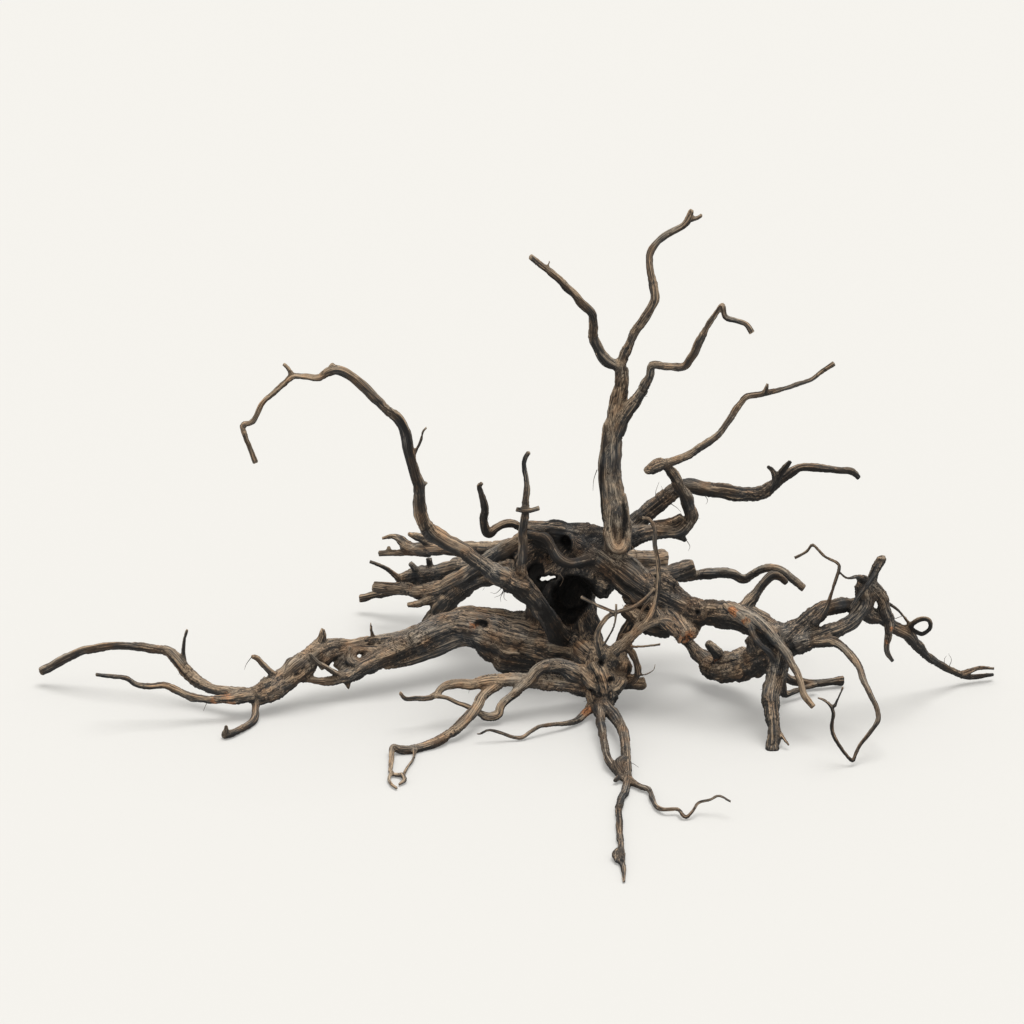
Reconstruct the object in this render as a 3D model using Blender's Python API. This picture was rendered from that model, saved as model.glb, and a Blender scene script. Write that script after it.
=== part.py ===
"""A dry tree root with its side roots, washed and dried, lying on its own root tips.

It grew as one piece, so it is one solid. Each root is a tapering tube along its own route, and the
tubes are grown together into one skin: a fine voxel skin over all of them, relaxed so that the
forks get their natural webs, then thinned out to the few facets that the shape needs.
"""

import math

import bpy
import bmesh
from mathutils import Vector

MM = 0.001                 # the routes below are in millimetres, the model is in metres
SKIN_VOXEL = 2.4 * MM      # grain of the skin that joins the tubes
THINNEST = 1.9             # millimetres, the least radius that the skin can carry
RELAX_ROUNDS = 4           # rounds of smoothing that web the forks
FACETS = 9600              # triangles left in the solid
STEP_PER_RADIUS = 1.1      # spacing of a tube's rings, in radii
LEAST_STEP = 4.0           # millimetres
SIDES = 10                 # corners of a tube's ring
LEAST_EDGE = 0.02 * MM     # shorter edges than this are closed up
MIDDLE = (6.0, -152.0)     # x and y of the middle of the root's box, which becomes the origin
WOOD = (0.10, 0.075, 0.055, 1.0)
WOOD_ROUGHNESS = 0.85

# Each root: the places that its middle passes through, as (x, y, z, radius), from where it leaves
# the stump or its parent root to its tip. x runs right, y to the back, z up from the floor.
ROOTS = {
    # The stump and the crown of heavy wood on it.
    "stump": [(72, 50, -6, 50), (67, 50, 45, 48), (62, 50, 90, 46), (70, 46, 130, 41),
              (90, 40, 168, 33), (110, 34, 190, 26)],
    "stump_shoulder": [(18, 72, 112, 20), (26, 68, 146, 22), (48, 58, 178, 17)],
    "crown_back": [(30, 56, 186, 12), (52, 48, 180, 15), (84, 44, 178, 18)],
    "crown_heart": [(80, 30, 150, 26), (105, 18, 140, 24), (125, 8, 136, 20)],
    "crown_ridge": [(18, 42, 199, 12), (60, 40, 197, 15.5), (97, 36, 190, 18), (126, 30, 182, 20)],
    "crown_loop": [(20, 16, 203, 6), (41, 6, 203, 7), (50, 0, 191, 6.5), (58, -5, 180, 7),
                   (71, -5, 172, 7), (87, 0, 172, 7.5), (106, 10, 174, 10)],
    "crown_knob": [(98, 25, 158, 17), (90, -4, 148, 16)],
    "crown_lobe": [(70, 40, 200, 9), (74, 22, 192, 7), (72, 14, 184, 5)],
    # The upright stem and its three branches.
    "stem": [(132, 12, 186, 19), (132, 15, 230, 17), (125, 20, 268, 15.4), (123, 25, 307, 13),
             (127, 30, 345, 11.5), (133, 35, 377, 10.5), (136, 36, 403, 9), (134, 36, 425, 7.5)],
    "stem_rib": [(123, 0, 209, 8), (115, 8, 265, 7), (115, 18, 309, 6.5), (118, 24, 350, 5)],
    "stem_strap": [(140, 40, 417, 4.5), (141, 34, 396, 5), (137, 30, 372, 5.5)],
    "stem_left_fork": [(134, 36, 418, 7.5), (116, 35, 431, 7.5), (102, 30, 454, 7.2),
                       (100, 25, 476, 6.2), (98, 20, 495, 5.7), (85, 15, 512, 5.6),
                       (67, 10, 533, 5.4), (50, 5, 551, 4.8), (36, -1, 564, 4.6),
                       (22, -5, 578, 3.8)],
    "stem_left_hair": [(45, 4, 552, 2), (44, 3, 562, 1.4), (46, 3, 570, 1)],
    "stem_top_fork": [(134, 36, 421, 7.5), (148, 40, 456, 6), (162, 43, 479, 5.8),
                      (175, 46, 500, 5.7), (175, 50, 518, 5.8), (171, 53, 540, 5),
                      (169, 56, 559, 4.7), (178, 60, 574, 4.7), (194, 62, 586, 4.5),
                      (211, 65, 595, 4.5), (218, 66, 604, 4.6), (221, 66, 615, 3.4)],
    "stem_top_prong": [(218, 66, 602, 4), (227, 64, 604, 3), (234, 63, 609, 2.8)],
    "stem_side_branch": [(127, 28, 318, 6), (132, 26, 338, 9), (139, 23, 358, 9),
                         (150, 21, 377, 8.3), (161, 18, 395, 7), (169, 14, 413, 5.8),
                         (173, 10, 431, 5.6), (190, 5, 432, 5), (211, 0, 434, 5.4),
                         (223, -4, 452, 5.6), (232, -8, 473, 5.2), (240, -12, 491, 4),
                         (249, -15, 507, 3.4), (257, -18, 520, 3.4), (260, -22, 506, 3.4),
                         (274, -26, 502, 3.8), (286, -30, 499, 3.8), (293, -34, 489, 4)],
    # The tall hook on the left, the stick beside it and the twig behind them.
    "hook": [(64, 24, 48, 11), (56, 8, 68, 9), (45, -4, 92, 9.5), (35, -12, 112, 11),
             (22, -20, 136, 13), (-2, -30, 158, 14), (-21, -32, 168, 13), (-35, -34, 181, 11),
             (-50, -36, 194, 10), (-65, -38, 206, 9.5), (-83, -40, 217, 9.8), (-101, -42, 231, 9.8),
             (-110, -45, 250, 8.5), (-114, -46, 267, 8.2), (-115, -50, 292, 7.4),
             (-121, -53, 317, 7), (-127, -56, 345, 7), (-131, -58, 369, 7), (-140, -60, 388, 7),
             (-159, -62, 406, 6), (-178, -63, 427, 6), (-193, -64, 442, 6), (-209, -65, 452, 6),
             (-222, -66, 451, 5.8), (-236, -67, 443, 4.5), (-252, -68, 445, 4.2),
             (-267, -70, 446, 4.5), (-279, -72, 436, 3.8), (-292, -74, 424, 3.5),
             (-304, -76, 413, 3.5), (-311, -78, 399, 3.5), (-318, -79, 390, 3.8),
             (-328, -80, 386, 4), (-325, -82, 371, 3.5), (-319, -84, 356, 3.4),
             (-313, -86, 339, 3.8)],
    "hook_shoulder": [(-212, -65, 452, 5), (-220, -65, 461, 3)],
    "hook_peg": [(-267, -70, 447, 3.5), (-273, -70, 458, 2.6), (-278, -69, 462, 2.4)],
    "hook_whip": [(-124, -54, 322, 3), (-119, -54, 340, 2.2), (-112, -54, 356, 2),
                  (-109, -55, 369, 1.8), (-104, -55, 374, 1.6)],
    "hook_thorn": [(-114, -50, 291, 3), (-104, -50, 300, 1.6)],
    "stick": [(12, -22, 155, 8), (12, -30, 187, 6), (13, -32, 215, 5.8), (16, -34, 243, 5.6),
              (17, -36, 262, 5), (18, -38, 281, 4.2), (17, -40, 301, 3.7), (15, -42, 318, 3.4),
              (16, -43, 328, 3.2), (21, -44, 338, 3.2)],
    "stick_peg": [(5, -38, 259, 3.2), (20, -42, 259, 3.2), (34, -44, 263, 3.4)],
    "crown_twig": [(41, 34, 200, 7), (16, 30, 206, 6), (-4, 22, 216, 5.5), (-19, 15, 213, 5.3),
                   (-31, 10, 207, 5.8), (-35, 8, 224, 5.4), (-34, 6, 245, 5), (-38, 4, 263, 4),
                   (-41, 3, 273, 3.6), (-37, 0, 279, 3)],
    # The roots that run back and to the left.
    "back_high": [(43, 55, 172, 15), (-2, 100, 148, 12), (-41, 140, 132, 10.5), (-80, 170, 119, 10),
                  (-113, 190, 112, 9.5), (-134, 200, 110, 9), (-144, 203, 117, 6),
                  (-155, 206, 122, 4), (-170, 210, 118, 2.5)],
    "back_high_prong": [(-106, 190, 106, 6), (-140, 200, 102, 4.6), (-160, 205, 100, 4.2),
                        (-174, 210, 97, 4.2)],
    "back_high_peg": [(-161, 206, 100, 3.4), (-161, 206, 109, 2.2)],
    "back_high_nub": [(-98, 186, 120, 6.5), (-120, 183, 129, 6), (-135, 181, 137, 2.8)],
    "back_flat": [(15, 90, 146, 14), (-28, 150, 108, 13), (-61, 195, 84, 13), (-93, 218, 67, 13),
                  (-126, 228, 57, 11), (-152, 230, 50, 8)],
    "back_flat_twig": [(-148, 226, 54, 4.5), (-161, 225, 66, 3.4), (-172, 225, 73, 3),
                       (-187, 225, 79, 2.6)],
    "back_flat_nub": [(-122, 226, 62, 5), (-134, 222, 78, 4)],
    "back_flat_peg": [(-107, 223, 68, 6), (-109, 222, 85, 4.2)],
    "back_sawn": [(20, 32, 195, 9.5), (-15, 60, 162, 10), (-41, 95, 127, 10.5),
                  (-67, 125, 97, 10.8), (-93, 150, 73, 10.8), (-119, 170, 60, 9.8),
                  (-148, 185, 57, 8.8), (-181, 195, 56, 8.8)],
    "back_sawn_prong": [(-92, 150, 64, 8), (-119, 155, 50, 5.5), (-136, 160, 45, 4)],
    "back_low": [(-80, 205, 66, 10), (-107, 220, 51, 8), (-146, 230, 37, 6), (-175, 235, 28, 5.2),
                 (-201, 240, 20, 5.2)],
    "back_foot": [(0, 70, 136, 13), (-45, 112, 100, 12), (-69, 132, 77, 13.5), (-86, 150, 51, 14.5),
                  (-99, 161, 26, 14.5), (-110, 170, -4, 12)],
    # The heavy arm to the left, and the two runners that it ends in.
    "arm": [(98, 30, 35, 30), (60, 20, 43, 28), (22, 15, 53, 26), (-9, 25, 57, 24.5),
            (-41, 35, 64, 21.5), (-73, 40, 67, 20.5), (-104, 30, 60, 19.5), (-136, 10, 51, 17.5),
            (-162, -5, 45, 15), (-188, -18, 37, 13), (-206, -28, 30, 10.5), (-226, -38, 27, 6.5),
            (-245, -46, 30, 5), (-266, -54, 36, 4.7), (-285, -60, 40, 4.7), (-299, -65, 48, 4.5),
            (-310, -69, 61, 4.3), (-318, -73, 73, 4.3), (-325, -77, 77, 3.5)],
    "arm_back": [(60, 50, 60, 22), (-15, 60, 68, 13), (-53, 68, 70, 12), (-91, 55, 66, 12),
                 (-123, 35, 59, 11), (-155, 20, 56, 10.5), (-183, 10, 58, 8.5), (-207, -5, 59, 8.5),
                 (-232, -15, 62, 12), (-251, -30, 55, 16.5), (-271, -48, 44, 18),
                 (-293, -63, 32, 17.5), (-313, -75, 26, 14.5), (-334, -83, 26, 10),
                 (-353, -88, 26, 7)],
    "arm_underside": [(40, 25, 24, 22), (0, 20, 30, 22), (-24, 25, 36, 13), (-56, 28, 54, 9),
                      (-102, 18, 42, 9), (-132, 5, 37, 9), (-161, -8, 35, 7)],
    "arm_strap": [(-147, 0, 44, 8), (-176, -5, 53, 7), (-203, -12, 57, 6), (-225, -20, 54, 8),
                  (-243, -33, 47, 10)],
    "arm_barb": [(-208, -31, 22, 5), (-206, -32, 11, 1.8)],
    "arm_knot": [(-196, -16, 52, 6), (-213, -20, 46, 7), (-222, -26, 38, 6)],
    "arm_crest": [(-244, -22, 63, 12), (-239, -20, 79, 5.4), (-238, -20, 90, 2.8)],
    "arm_thorn": [(-176, 12, 64, 3), (-178, 12, 74, 2), (-179, 12, 85, 1.2)],
    "arm_spur": [(-191, -20, 39, 8), (-206, -22, 49, 6), (-204, -18, 65, 3)],
    "arm_twig": [(-215, -35, 30, 5), (-234, -45, 48, 3.4), (-246, -50, 59, 2.8),
                 (-254, -54, 71, 2.6)],
    "runner_back": [(-334, -80, 27, 9), (-354, -75, 28, 7.5), (-377, -62, 28, 7.5),
                    (-396, -50, 32, 8.5), (-409, -42, 41, 8), (-421, -35, 54, 7.5),
                    (-433, -28, 62, 6.8), (-451, -22, 63, 6.2), (-476, -15, 63, 6),
                    (-502, -10, 62, 5.8), (-527, -5, 56, 5.7), (-550, 0, 48, 5.8), (-571, 3, 36, 6),
                    (-586, 6, 26, 6), (-599, 8, 18, 5.5)],
    "runner_thorn": [(-413, -36, 51, 4), (-413, -36, 67, 2.8), (-411, -36, 83, 2.4),
                     (-407, -36, 96, 2.2)],
    "runner_front": [(-323, -86, 27, 8.5), (-356, -95, 26, 6.2), (-378, -98, 28, 5.5),
                     (-400, -100, 32, 5.4), (-418, -101, 42, 4.8), (-432, -102, 49, 4.2),
                     (-451, -103, 48, 3.8), (-467, -104, 51, 3.7), (-478, -105, 59, 3.5),
                     (-495, -107, 63, 3.2), (-517, -110, 67, 2.6)],
    "left_foot": [(-320, -80, 21, 7), (-321, -92, 13, 4.6), (-321, -104, 6, 5),
                  (-326, -119, 3.5, 5), (-341, -142, 5, 4.6), (-357, -156, 5, 5)],
    "left_foot_nub": [(-354, -154, 6, 4.5), (-353, -153, 18, 2.6)],
    # The roots that run back and to the right.
    "sawn_log": [(95, 60, 145, 19), (143, 90, 133, 17), (169, 105, 127, 16.5),
                 (194, 120, 123, 16.5)],
    "right_back": [(95, 60, 135, 16), (134, 66, 124, 14), (165, 78, 117, 13), (198, 90, 117, 12.5),
                   (232, 102, 123, 12)],
    "right_back_rod": [(213, 98, 113, 8.5), (245, 105, 112, 7), (281, 110, 110, 6.5),
                       (297, 112, 103, 6.5), (310, 112, 109, 6), (325, 110, 117, 5.7),
                       (341, 107, 118, 5.6), (355, 104, 110, 5.7), (375, 100, 94, 5.4)],
    "black_arm": [(124, 34, 180, 15), (158, 50, 207, 12), (183, 60, 225, 11.3),
                  (204, 70, 238, 10.4), (222, 75, 246, 9.4), (243, 80, 240, 9.4),
                  (269, 85, 234, 9.8), (296, 90, 228, 10.4), (317, 93, 228, 9.8),
                  (332, 95, 238, 7.4), (350, 98, 252, 6), (366, 100, 261, 5.4),
                  (385, 102, 260, 5.2), (411, 104, 256, 5), (431, 105, 254, 5),
                  (442, 105, 244, 3.8)],
    "black_arm_curl": [(328, 92, 234, 6), (333, 88, 249, 4.4), (330, 86, 262, 3.4),
                       (323, 85, 268, 2.6)],
    "black_arm_peg": [(332, 93, 240, 5), (344, 85, 264, 4.4), (352, 82, 276, 3.2)],
    "elbow": [(135, 28, 186, 15), (172, 30, 201, 10.5), (196, 28, 203, 9.6), (213, 25, 207, 9.4),
              (224, 22, 224, 8.8), (220, 20, 248, 8.6), (211, 16, 267, 7.6), (200, 12, 286, 6.8),
              (192, 8, 299, 6)],
    "elbow_strap": [(176, 35, 209, 5.5), (197, 30, 214, 5.5), (214, 25, 224, 6)],
    "elbow_nub": [(210, 26, 200, 7), (219, 26, 190, 3)],
    "elbow_knob": [(195, 8, 302, 6), (182, 4, 301, 9.6), (171, 0, 297, 8)],
    "wand": [(190, 6, 302, 6.5), (217, 8, 312, 5.6), (235, 10, 324, 5.2), (253, 12, 336, 5),
             (263, 14, 347, 4.6), (274, 16, 364, 4.3), (283, 18, 378, 4.2), (291, 20, 386, 4.2),
             (306, 22, 388, 3.8), (322, 24, 391, 3.5), (341, 26, 396, 3.2), (357, 28, 401, 3.1),
             (372, 30, 405, 2.9), (384, 31, 415, 2.8), (400, 32, 426, 3.2)],
    "wand_peg": [(314, 22, 390, 3.6), (317, 22, 403, 2.3)],
    # The main arm to the right, its hub, its foot and what hangs on them.
    "right_arm": [(95, 32, 178, 26), (118, 18, 169, 24), (143, 2, 154, 22.5), (170, -15, 138, 23),
                  (195, -30, 132, 22.5), (221, -45, 125, 19.5), (251, -55, 126, 17.5),
                  (283, -65, 124, 16.5), (312, -80, 115, 17), (337, -90, 102, 22),
                  (357, -90, 101, 17)],
    "right_boss": [(183, -18, 150, 19), (203, -30, 146, 15)],
    "inner_prop": [(158, -24, 112, 10), (150, -24, 98, 8), (144, -26, 86, 8), (139, -30, 74, 8),
                   (134, -38, 62, 9)],
    "torn_stub": [(224, -46, 122, 17), (220, -52, 108, 15), (213, -56, 96, 10)],
    "torn_lip": [(228, -50, 116, 14), (226, -56, 102, 9)],
    "bridge_block": [(140, -28, 120, 9), (158, -42, 113, 12), (177, -46, 106, 13),
                     (197, -50, 103, 12)],
    "right_upper": [(345, -90, 110, 19), (371, -85, 130, 12.8), (389, -75, 140, 10.5),
                    (409, -65, 141, 9.2), (428, -55, 138, 9), (446, -48, 138, 10)],
    "right_lower": [(350, -98, 103, 16), (388, -95, 115, 11), (412, -85, 121, 10.5),
                    (428, -75, 130, 10.5), (439, -66, 143, 9.8), (437, -60, 156, 12),
                    (435, -55, 167, 10.5)],
    "right_horn": [(444, -52, 160, 8.5), (451, -50, 180, 6), (458, -50, 194, 6.4),
                   (459, -50, 200, 6)],
    "right_node": [(436, -56, 168, 8), (430, -58, 178, 4)],
    "right_stay": [(457, -55, 192, 4), (446, -75, 181, 3.5), (434, -85, 169, 3), (426, -88, 158, 3),
                   (418, -90, 146, 2.8)],
    "right_drop": [(445, -55, 164, 10), (459, -58, 148, 9.2), (466, -60, 130, 8.5),
                   (471, -62, 115, 7.5), (470, -64, 101, 5.2), (467, -66, 87, 4),
                   (469, -67, 77, 3.8), (476, -68, 66, 3)],
    "right_runner": [(440, -62, 131, 11), (461, -52, 116, 8.5), (478, -45, 104, 8),
                     (495, -38, 92, 8.3), (508, -30, 73, 7.4), (523, -20, 53, 6.2),
                     (540, -10, 36.5, 5.4), (557, 0, 23, 4.8), (576, 10, 11, 4.5),
                     (594, 16, 8, 3.5), (614, 22, 8, 2.4)],
    "right_runner_prong": [(572, 8, 15, 4), (594, 15, 20, 3), (614, 18, 18, 2)],
    "right_ring": [(494, -40, 99, 4), (504, -45, 110, 3.6), (513, -50, 116, 3.4),
                   (521, -55, 116, 3.2), (522, -56, 106, 3.2), (512, -54, 97, 3.2),
                   (501, -46, 100, 3.2)],
    "right_thread": [(466, -52, 141, 2.5), (481, -45, 127, 2), (490, -42, 116, 2),
                     (500, -40, 103, 2.2)],
    "swing_root": [(360, -98, 107, 8), (379, -105, 108, 7.5), (394, -110, 111, 7.2),
                   (407, -120, 110, 5.8), (418, -130, 102, 6), (426, -140, 93, 5),
                   (432, -155, 79, 4.4), (440, -170, 66, 3.8), (447, -185, 54, 3.5),
                   (448, -195, 44, 3.4), (439, -205, 34, 3), (427, -215, 23, 2.7),
                   (419, -225, 14, 2.6), (415, -232, 7, 2.7), (405, -230, 17, 2.6),
                   (397, -228, 28, 2.6), (391, -226, 39, 2.7), (389, -224, 50, 2.7),
                   (391, -222, 65, 2.5), (387, -220, 75, 2.2), (380, -218, 81, 2),
                   (371, -216, 84, 1.6)],
    "swing_twig": [(392, -222, 74, 2.2), (397, -222, 88, 1.7), (402, -223, 102, 1.5)],
    "right_foot": [(335, -92, 98, 20), (329, -105, 78, 14), (325, -120, 61, 12.5),
                   (320, -140, 47, 12), (321, -155, 32, 9.8), (322, -170, 17, 8),
                   (320, -186, -5, 9)],
    "right_foot_twig": [(327, -170, 20, 3), (335, -180, 11, 2.2), (341, -187, 6, 1.5)],
    "pale_branch": [(268, -74, 142, 7), (296, -90, 137, 7.8), (311, -100, 128, 7.2),
                    (327, -110, 112, 6.2), (340, -120, 98, 5.6), (350, -130, 82, 5),
                    (357, -140, 68, 4.6), (361, -148, 56, 4.6), (372, -155, 43, 4.2)],
    "torn_flap": [(262, -80, 146, 4), (280, -90, 138, 5.5), (293, -94, 130, 4)],
    "hub_strap": [(294, -92, 132, 5), (299, -105, 118, 4), (308, -110, 106, 4), (320, -112, 97, 4),
                  (326, -112, 86, 5)],
    "hub_spur": [(282, -62, 127, 11), (294, -55, 139, 8.4), (306, -48, 151, 6.6),
                 (316, -42, 163, 5.8), (325, -38, 169, 5.8), (335, -34, 165, 5.2),
                 (343, -32, 157, 4.5)],
    "keel": [(334, -82, 90, 21), (313, -60, 67, 18.5), (295, -35, 48, 19), (273, -15, 33.5, 20.5),
             (256, 0, 29, 17.5), (243, 15, 33, 10.8), (232, 28, 41, 8.4), (219, 38, 50, 7.4),
             (201, 42, 61, 7.4), (187, 38, 74, 8.2), (172, 24, 88, 10.5), (163, 10, 106, 12),
             (152, 0, 128, 15)],
    "keel_stub": [(261, -18, 52, 8), (252, -20, 62, 6.8), (246, -20, 71, 5.4)],
    "hub_web": [(298, -62, 97, 10), (306, -62, 80, 14)],
    "hub_brow": [(300, -62, 128, 9), (318, -72, 123, 9)],
    "hub_claw": [(336, -66, 70, 11), (341, -38, 35, 7), (357, -18, 17, 5.8), (377, -8, 10, 5.4),
                 (397, -3, 8, 4.8), (413, 1, 8.5, 6), (421, 3, 7.5, 6.4)],
    "hub_claw_low": [(336, -70, 60, 9), (339, -52, 28, 6), (343, -46, 11, 5), (357, -38, 12, 3.8),
                     (370, -28, 12, 3.6), (385, -20, 13, 4.4)],
    "whip": [(374, -98, 131, 6), (385, -102, 147, 3.6), (391, -102, 160, 3.2),
             (395, -100, 176, 2.4), (400, -98, 191, 2.4), (403, -96, 205, 2.4),
             (400, -94, 211, 2.3), (386, -90, 217, 2), (377, -87, 225, 1.9), (370, -85, 231, 2.2),
             (363, -83, 221, 2), (349, -80, 211, 2.2)],
    "whip_tie": [(403, -95, 199, 1.8), (413, -90, 189, 1.8), (428, -76, 184, 3),
                 (438, -62, 174, 6)],
    # The bundle of roots in front, on its own knuckle of wood.
    "knuckle": [(95, 10, 45, 24), (112, -40, 48, 24), (110, -58, 36, 22), (107, -66, 22, 18),
                (110, -84, 11, 12)],
    "knuckle_neck": [(114, -50, 48, 22), (120, -58, 62, 17), (124, -66, 76, 10)],
    "knuckle_cheek": [(112, -48, 50, 18), (133, -52, 52, 15), (139, -53, 64, 12)],
    "knuckle_toe": [(112, -64, 28, 10), (121, -70, 15, 6.5), (126, -74, 7, 4)],
    "knuckle_fin": [(132, -45, 62, 10), (142, -32, 78, 8), (146, -24, 92, 6.5)],
    "knuckle_stub": [(118, -52, 34, 14), (140, -50, 28, 9.5), (160, -48, 27, 8),
                     (168, -48, 28, 7.5)],
    "knuckle_handle": [(130, -66, 88, 6), (147, -68, 80, 5), (156, -68, 62, 5), (156, -64, 44, 5),
                       (142, -54, 33, 7)],
    "knuckle_hook": [(157, -68, 47, 2), (166, -72, 50, 1.4), (176, -75, 57, 1.2),
                     (179, -75, 66, 1)],
    "long_rootlet": [(121, -66, 72, 9), (141, -68, 92, 6.5), (157, -68, 109, 5.2),
                     (169, -67, 123, 4.4), (177, -66, 139, 3.8), (181, -65, 159, 3.5),
                     (182, -65, 180, 3.5), (181, -65, 202, 3.2), (177, -66, 222, 3.1),
                     (176, -67, 243, 2.9), (170, -68, 257, 2.6), (160, -70, 261, 2.4)],
    "bridge_rootlet": [(143, -69, 94, 5.5), (163, -70, 112, 4.6), (180, -68, 120, 4.4),
                       (193, -66, 121, 4.8), (206, -62, 110, 7)],
    "arc_rootlet": [(114, -70, 74, 8), (107, -76, 96, 4.5), (108, -78, 114, 3.4),
                    (117, -78, 129, 3.3), (130, -77, 137, 3.1), (148, -75, 142, 3.1),
                    (164, -73, 152, 2.8), (177, -69, 166, 2.6)],
    "arc_feeler": [(128, -78, 137, 2.8), (112, -79, 144, 2.4), (98, -80, 152, 2.3),
                   (85, -80, 159, 2.3)],
    "arc_thread": [(114, -76, 92, 1.8), (125, -81, 115, 1.6), (129, -82, 134, 1.8),
                   (129, -82, 151, 1.8)],
    "inner_rootlet": [(150, -67, 102, 3), (157, -64, 121, 2.4), (164, -62, 137, 2.4),
                      (176, -62, 151, 2.6)],
    "side_thread": [(141, -69, 86, 2.2), (163, -75, 90, 1.8), (185, -80, 95, 1.8)],
    "front_left_bend": [(104, -60, 36, 17), (81, -66, 49, 12), (61, -71, 61, 10), (45, -76, 63, 9),
                        (33, -81, 60, 7.8), (22, -86, 49, 7.2), (9, -92, 39, 6.6),
                        (-6, -99, 29, 5.5), (-14, -105, 21, 5), (-17, -110, 12, 5.8),
                        (-30, -112, 10, 5.5), (-44, -113, 18, 4.2), (-56, -114, 26, 3.5),
                        (-69, -116, 32, 3), (-83, -118, 39, 3), (-94, -120, 42, 3.2)],
    "front_left_high": [(98, -58, 28, 15), (68, -63, 33, 11.5), (44, -70, 40, 10.5),
                        (19, -77, 45, 9.5), (-5, -84, 48, 8.8), (-29, -90, 50, 8.2),
                        (-51, -96, 48, 7), (-70, -102, 51, 6.2), (-86, -108, 48, 5.2),
                        (-94, -114, 42, 4.7), (-105, -120, 40, 3.8), (-119, -124, 41, 3.2),
                        (-132, -128, 42, 3), (-139, -130, 52, 2.5)],
    "front_left_low": [(-14, -86, 46, 7.5), (-35, -103, 36, 7.2), (-46, -124, 26, 7),
                       (-60, -146, 17, 7), (-80, -165, 10, 6.8), (-98, -181, 6.5, 6.3),
                       (-118, -192, 5, 6), (-134, -198, 5, 5.6), (-146, -198, 9, 4.8),
                       (-147, -212, 5, 3.6), (-148, -240, 4, 3), (-145, -262, 3.5, 2.8),
                       (-132, -266, 3.5, 3)],
    "front_left_stay": [(-119, -196, 5, 2.4), (-120, -218, 4, 2), (-127, -242, 3, 2),
                        (-131, -260, 3, 2.4)],
    "front_left_claw": [(-146, -258, 4, 2.8), (-149, -276, 3, 2.4), (-145, -292, 3, 2.2),
                        (-138, -302, 3, 2)],
    "front_left_nub": [(-134, -264, 4, 3.4), (-130, -280, 4, 3.2), (-137, -292, 3, 2)],
    "front_left_thin": [(106, -78, 14, 9), (91, -98, 8, 5.5), (79, -116, 6, 4.4),
                        (65, -128, 8, 3.4), (49, -136, 11, 3), (34, -144, 12, 2.8),
                        (22, -152, 8, 2.7), (11, -160, 4, 2.8), (-3, -161, 7, 2.6),
                        (-15, -162, 12, 2.4), (-29, -163, 16, 2.1), (-38, -165, 12, 1.7),
                        (-44, -166, 12, 1.4)],
    "front_leg": [(110, -84, 14, 11), (123, -120, 20, 8.6), (134, -160, 21, 7.2),
                  (138, -203, 16, 6.2), (139, -241, 10, 5.9), (140, -276, 5, 5.6),
                  (136, -314, 4.5, 5.3), (128, -350, 4, 4.8), (127, -394, 4, 4.4),
                  (127, -441, 4, 4.2), (127, -487, 4, 4.8), (129, -518, 3, 3.2), (129, -548, 2, 2)],
    "front_leg_twin": [(108, -90, 16, 9), (109, -131, 20, 6.2), (111, -170, 17, 5.2),
                       (114, -205, 13, 5), (117, -233, 10, 5), (125, -257, 7, 5.3),
                       (136, -280, 5, 5)],
    "front_leg_knot": [(136, -240, 12, 6.5), (129, -256, 13, 6.5), (134, -272, 8, 6)],
    "front_leg_peg": [(136, -270, 8, 4), (124, -286, 5, 3)],
    "front_leg_barb": [(124, -470, 4, 4), (120, -486, 6, 4.5), (121, -500, 3, 1.8)],
    "front_right_thin": [(140, -280, 5, 5), (154, -301, 5, 3.8), (164, -310, 5, 3.6),
                         (169, -337, 4, 3.3), (173, -356, 4, 3), (182, -368, 7, 2.7),
                         (197, -368, 7, 2.7), (202, -380, 6, 2.5), (207, -382, 3, 2.5),
                         (215, -375, 9, 2.3), (222, -364, 14, 2.1), (236, -366, 19, 2),
                         (246, -364, 23, 1.9), (260, -376, 21, 1.6)],
}


def smooth_route(stations):
    """Points along a Catmull-Rom curve through the stations, each (Vector, radius), in millimetres."""
    knots = [(Vector(s[:3]), max(s[3], THINNEST)) for s in stations]
    first = (2 * knots[0][0] - knots[1][0], knots[0][1])
    last = (2 * knots[-1][0] - knots[-2][0], knots[-1][1])
    padded = [first] + knots + [last]
    route = []
    for (a, _), (b, rb), (c, rc), (d, _) in zip(padded, padded[1:], padded[2:], padded[3:]):
        step = max(LEAST_STEP, STEP_PER_RADIUS * (rb + rc) / 2)
        pieces = max(1, round((c - b).length / step))
        for i in range(pieces):
            t = i / pieces
            place = 0.5 * (2 * b + (c - a) * t + (2 * a - 5 * b + 4 * c - d) * t ** 2
                           + (3 * b - a - 3 * c + d) * t ** 3)
            route.append((place, rb + (rc - rb) * t))
    route.append(knots[-1])
    return route


def ring_frames(route):
    """Two directions across the route at each of its points, carried along without twist."""
    places = [place for place, _ in route]
    across = None
    frames = []
    for i in range(len(places)):
        along = (places[min(i + 1, len(places) - 1)] - places[max(i - 1, 0)]).normalized()
        if across is None:
            across = along.orthogonal()
        across = (across - across.dot(along) * along).normalized()
        frames.append((across.copy(), along.cross(across)))
    return frames


def add_tube(mesh, stations):
    """Sweeps one root's closed tube into the mesh."""
    route = smooth_route(stations)
    turns = [2 * math.pi * k / SIDES for k in range(SIDES)]
    rings = []
    for (place, radius), (across, up) in zip(route, ring_frames(route)):
        corners = [place + radius * (math.cos(a) * across + math.sin(a) * up) for a in turns]
        rings.append([mesh.verts.new(corner * MM) for corner in corners])
    for one, two in zip(rings, rings[1:]):
        for k in range(SIDES):
            j = (k + 1) % SIDES
            mesh.faces.new((one[k], one[j], two[j], two[k]))
    mesh.faces.new(list(reversed(rings[0])))
    mesh.faces.new(rings[-1])


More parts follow.
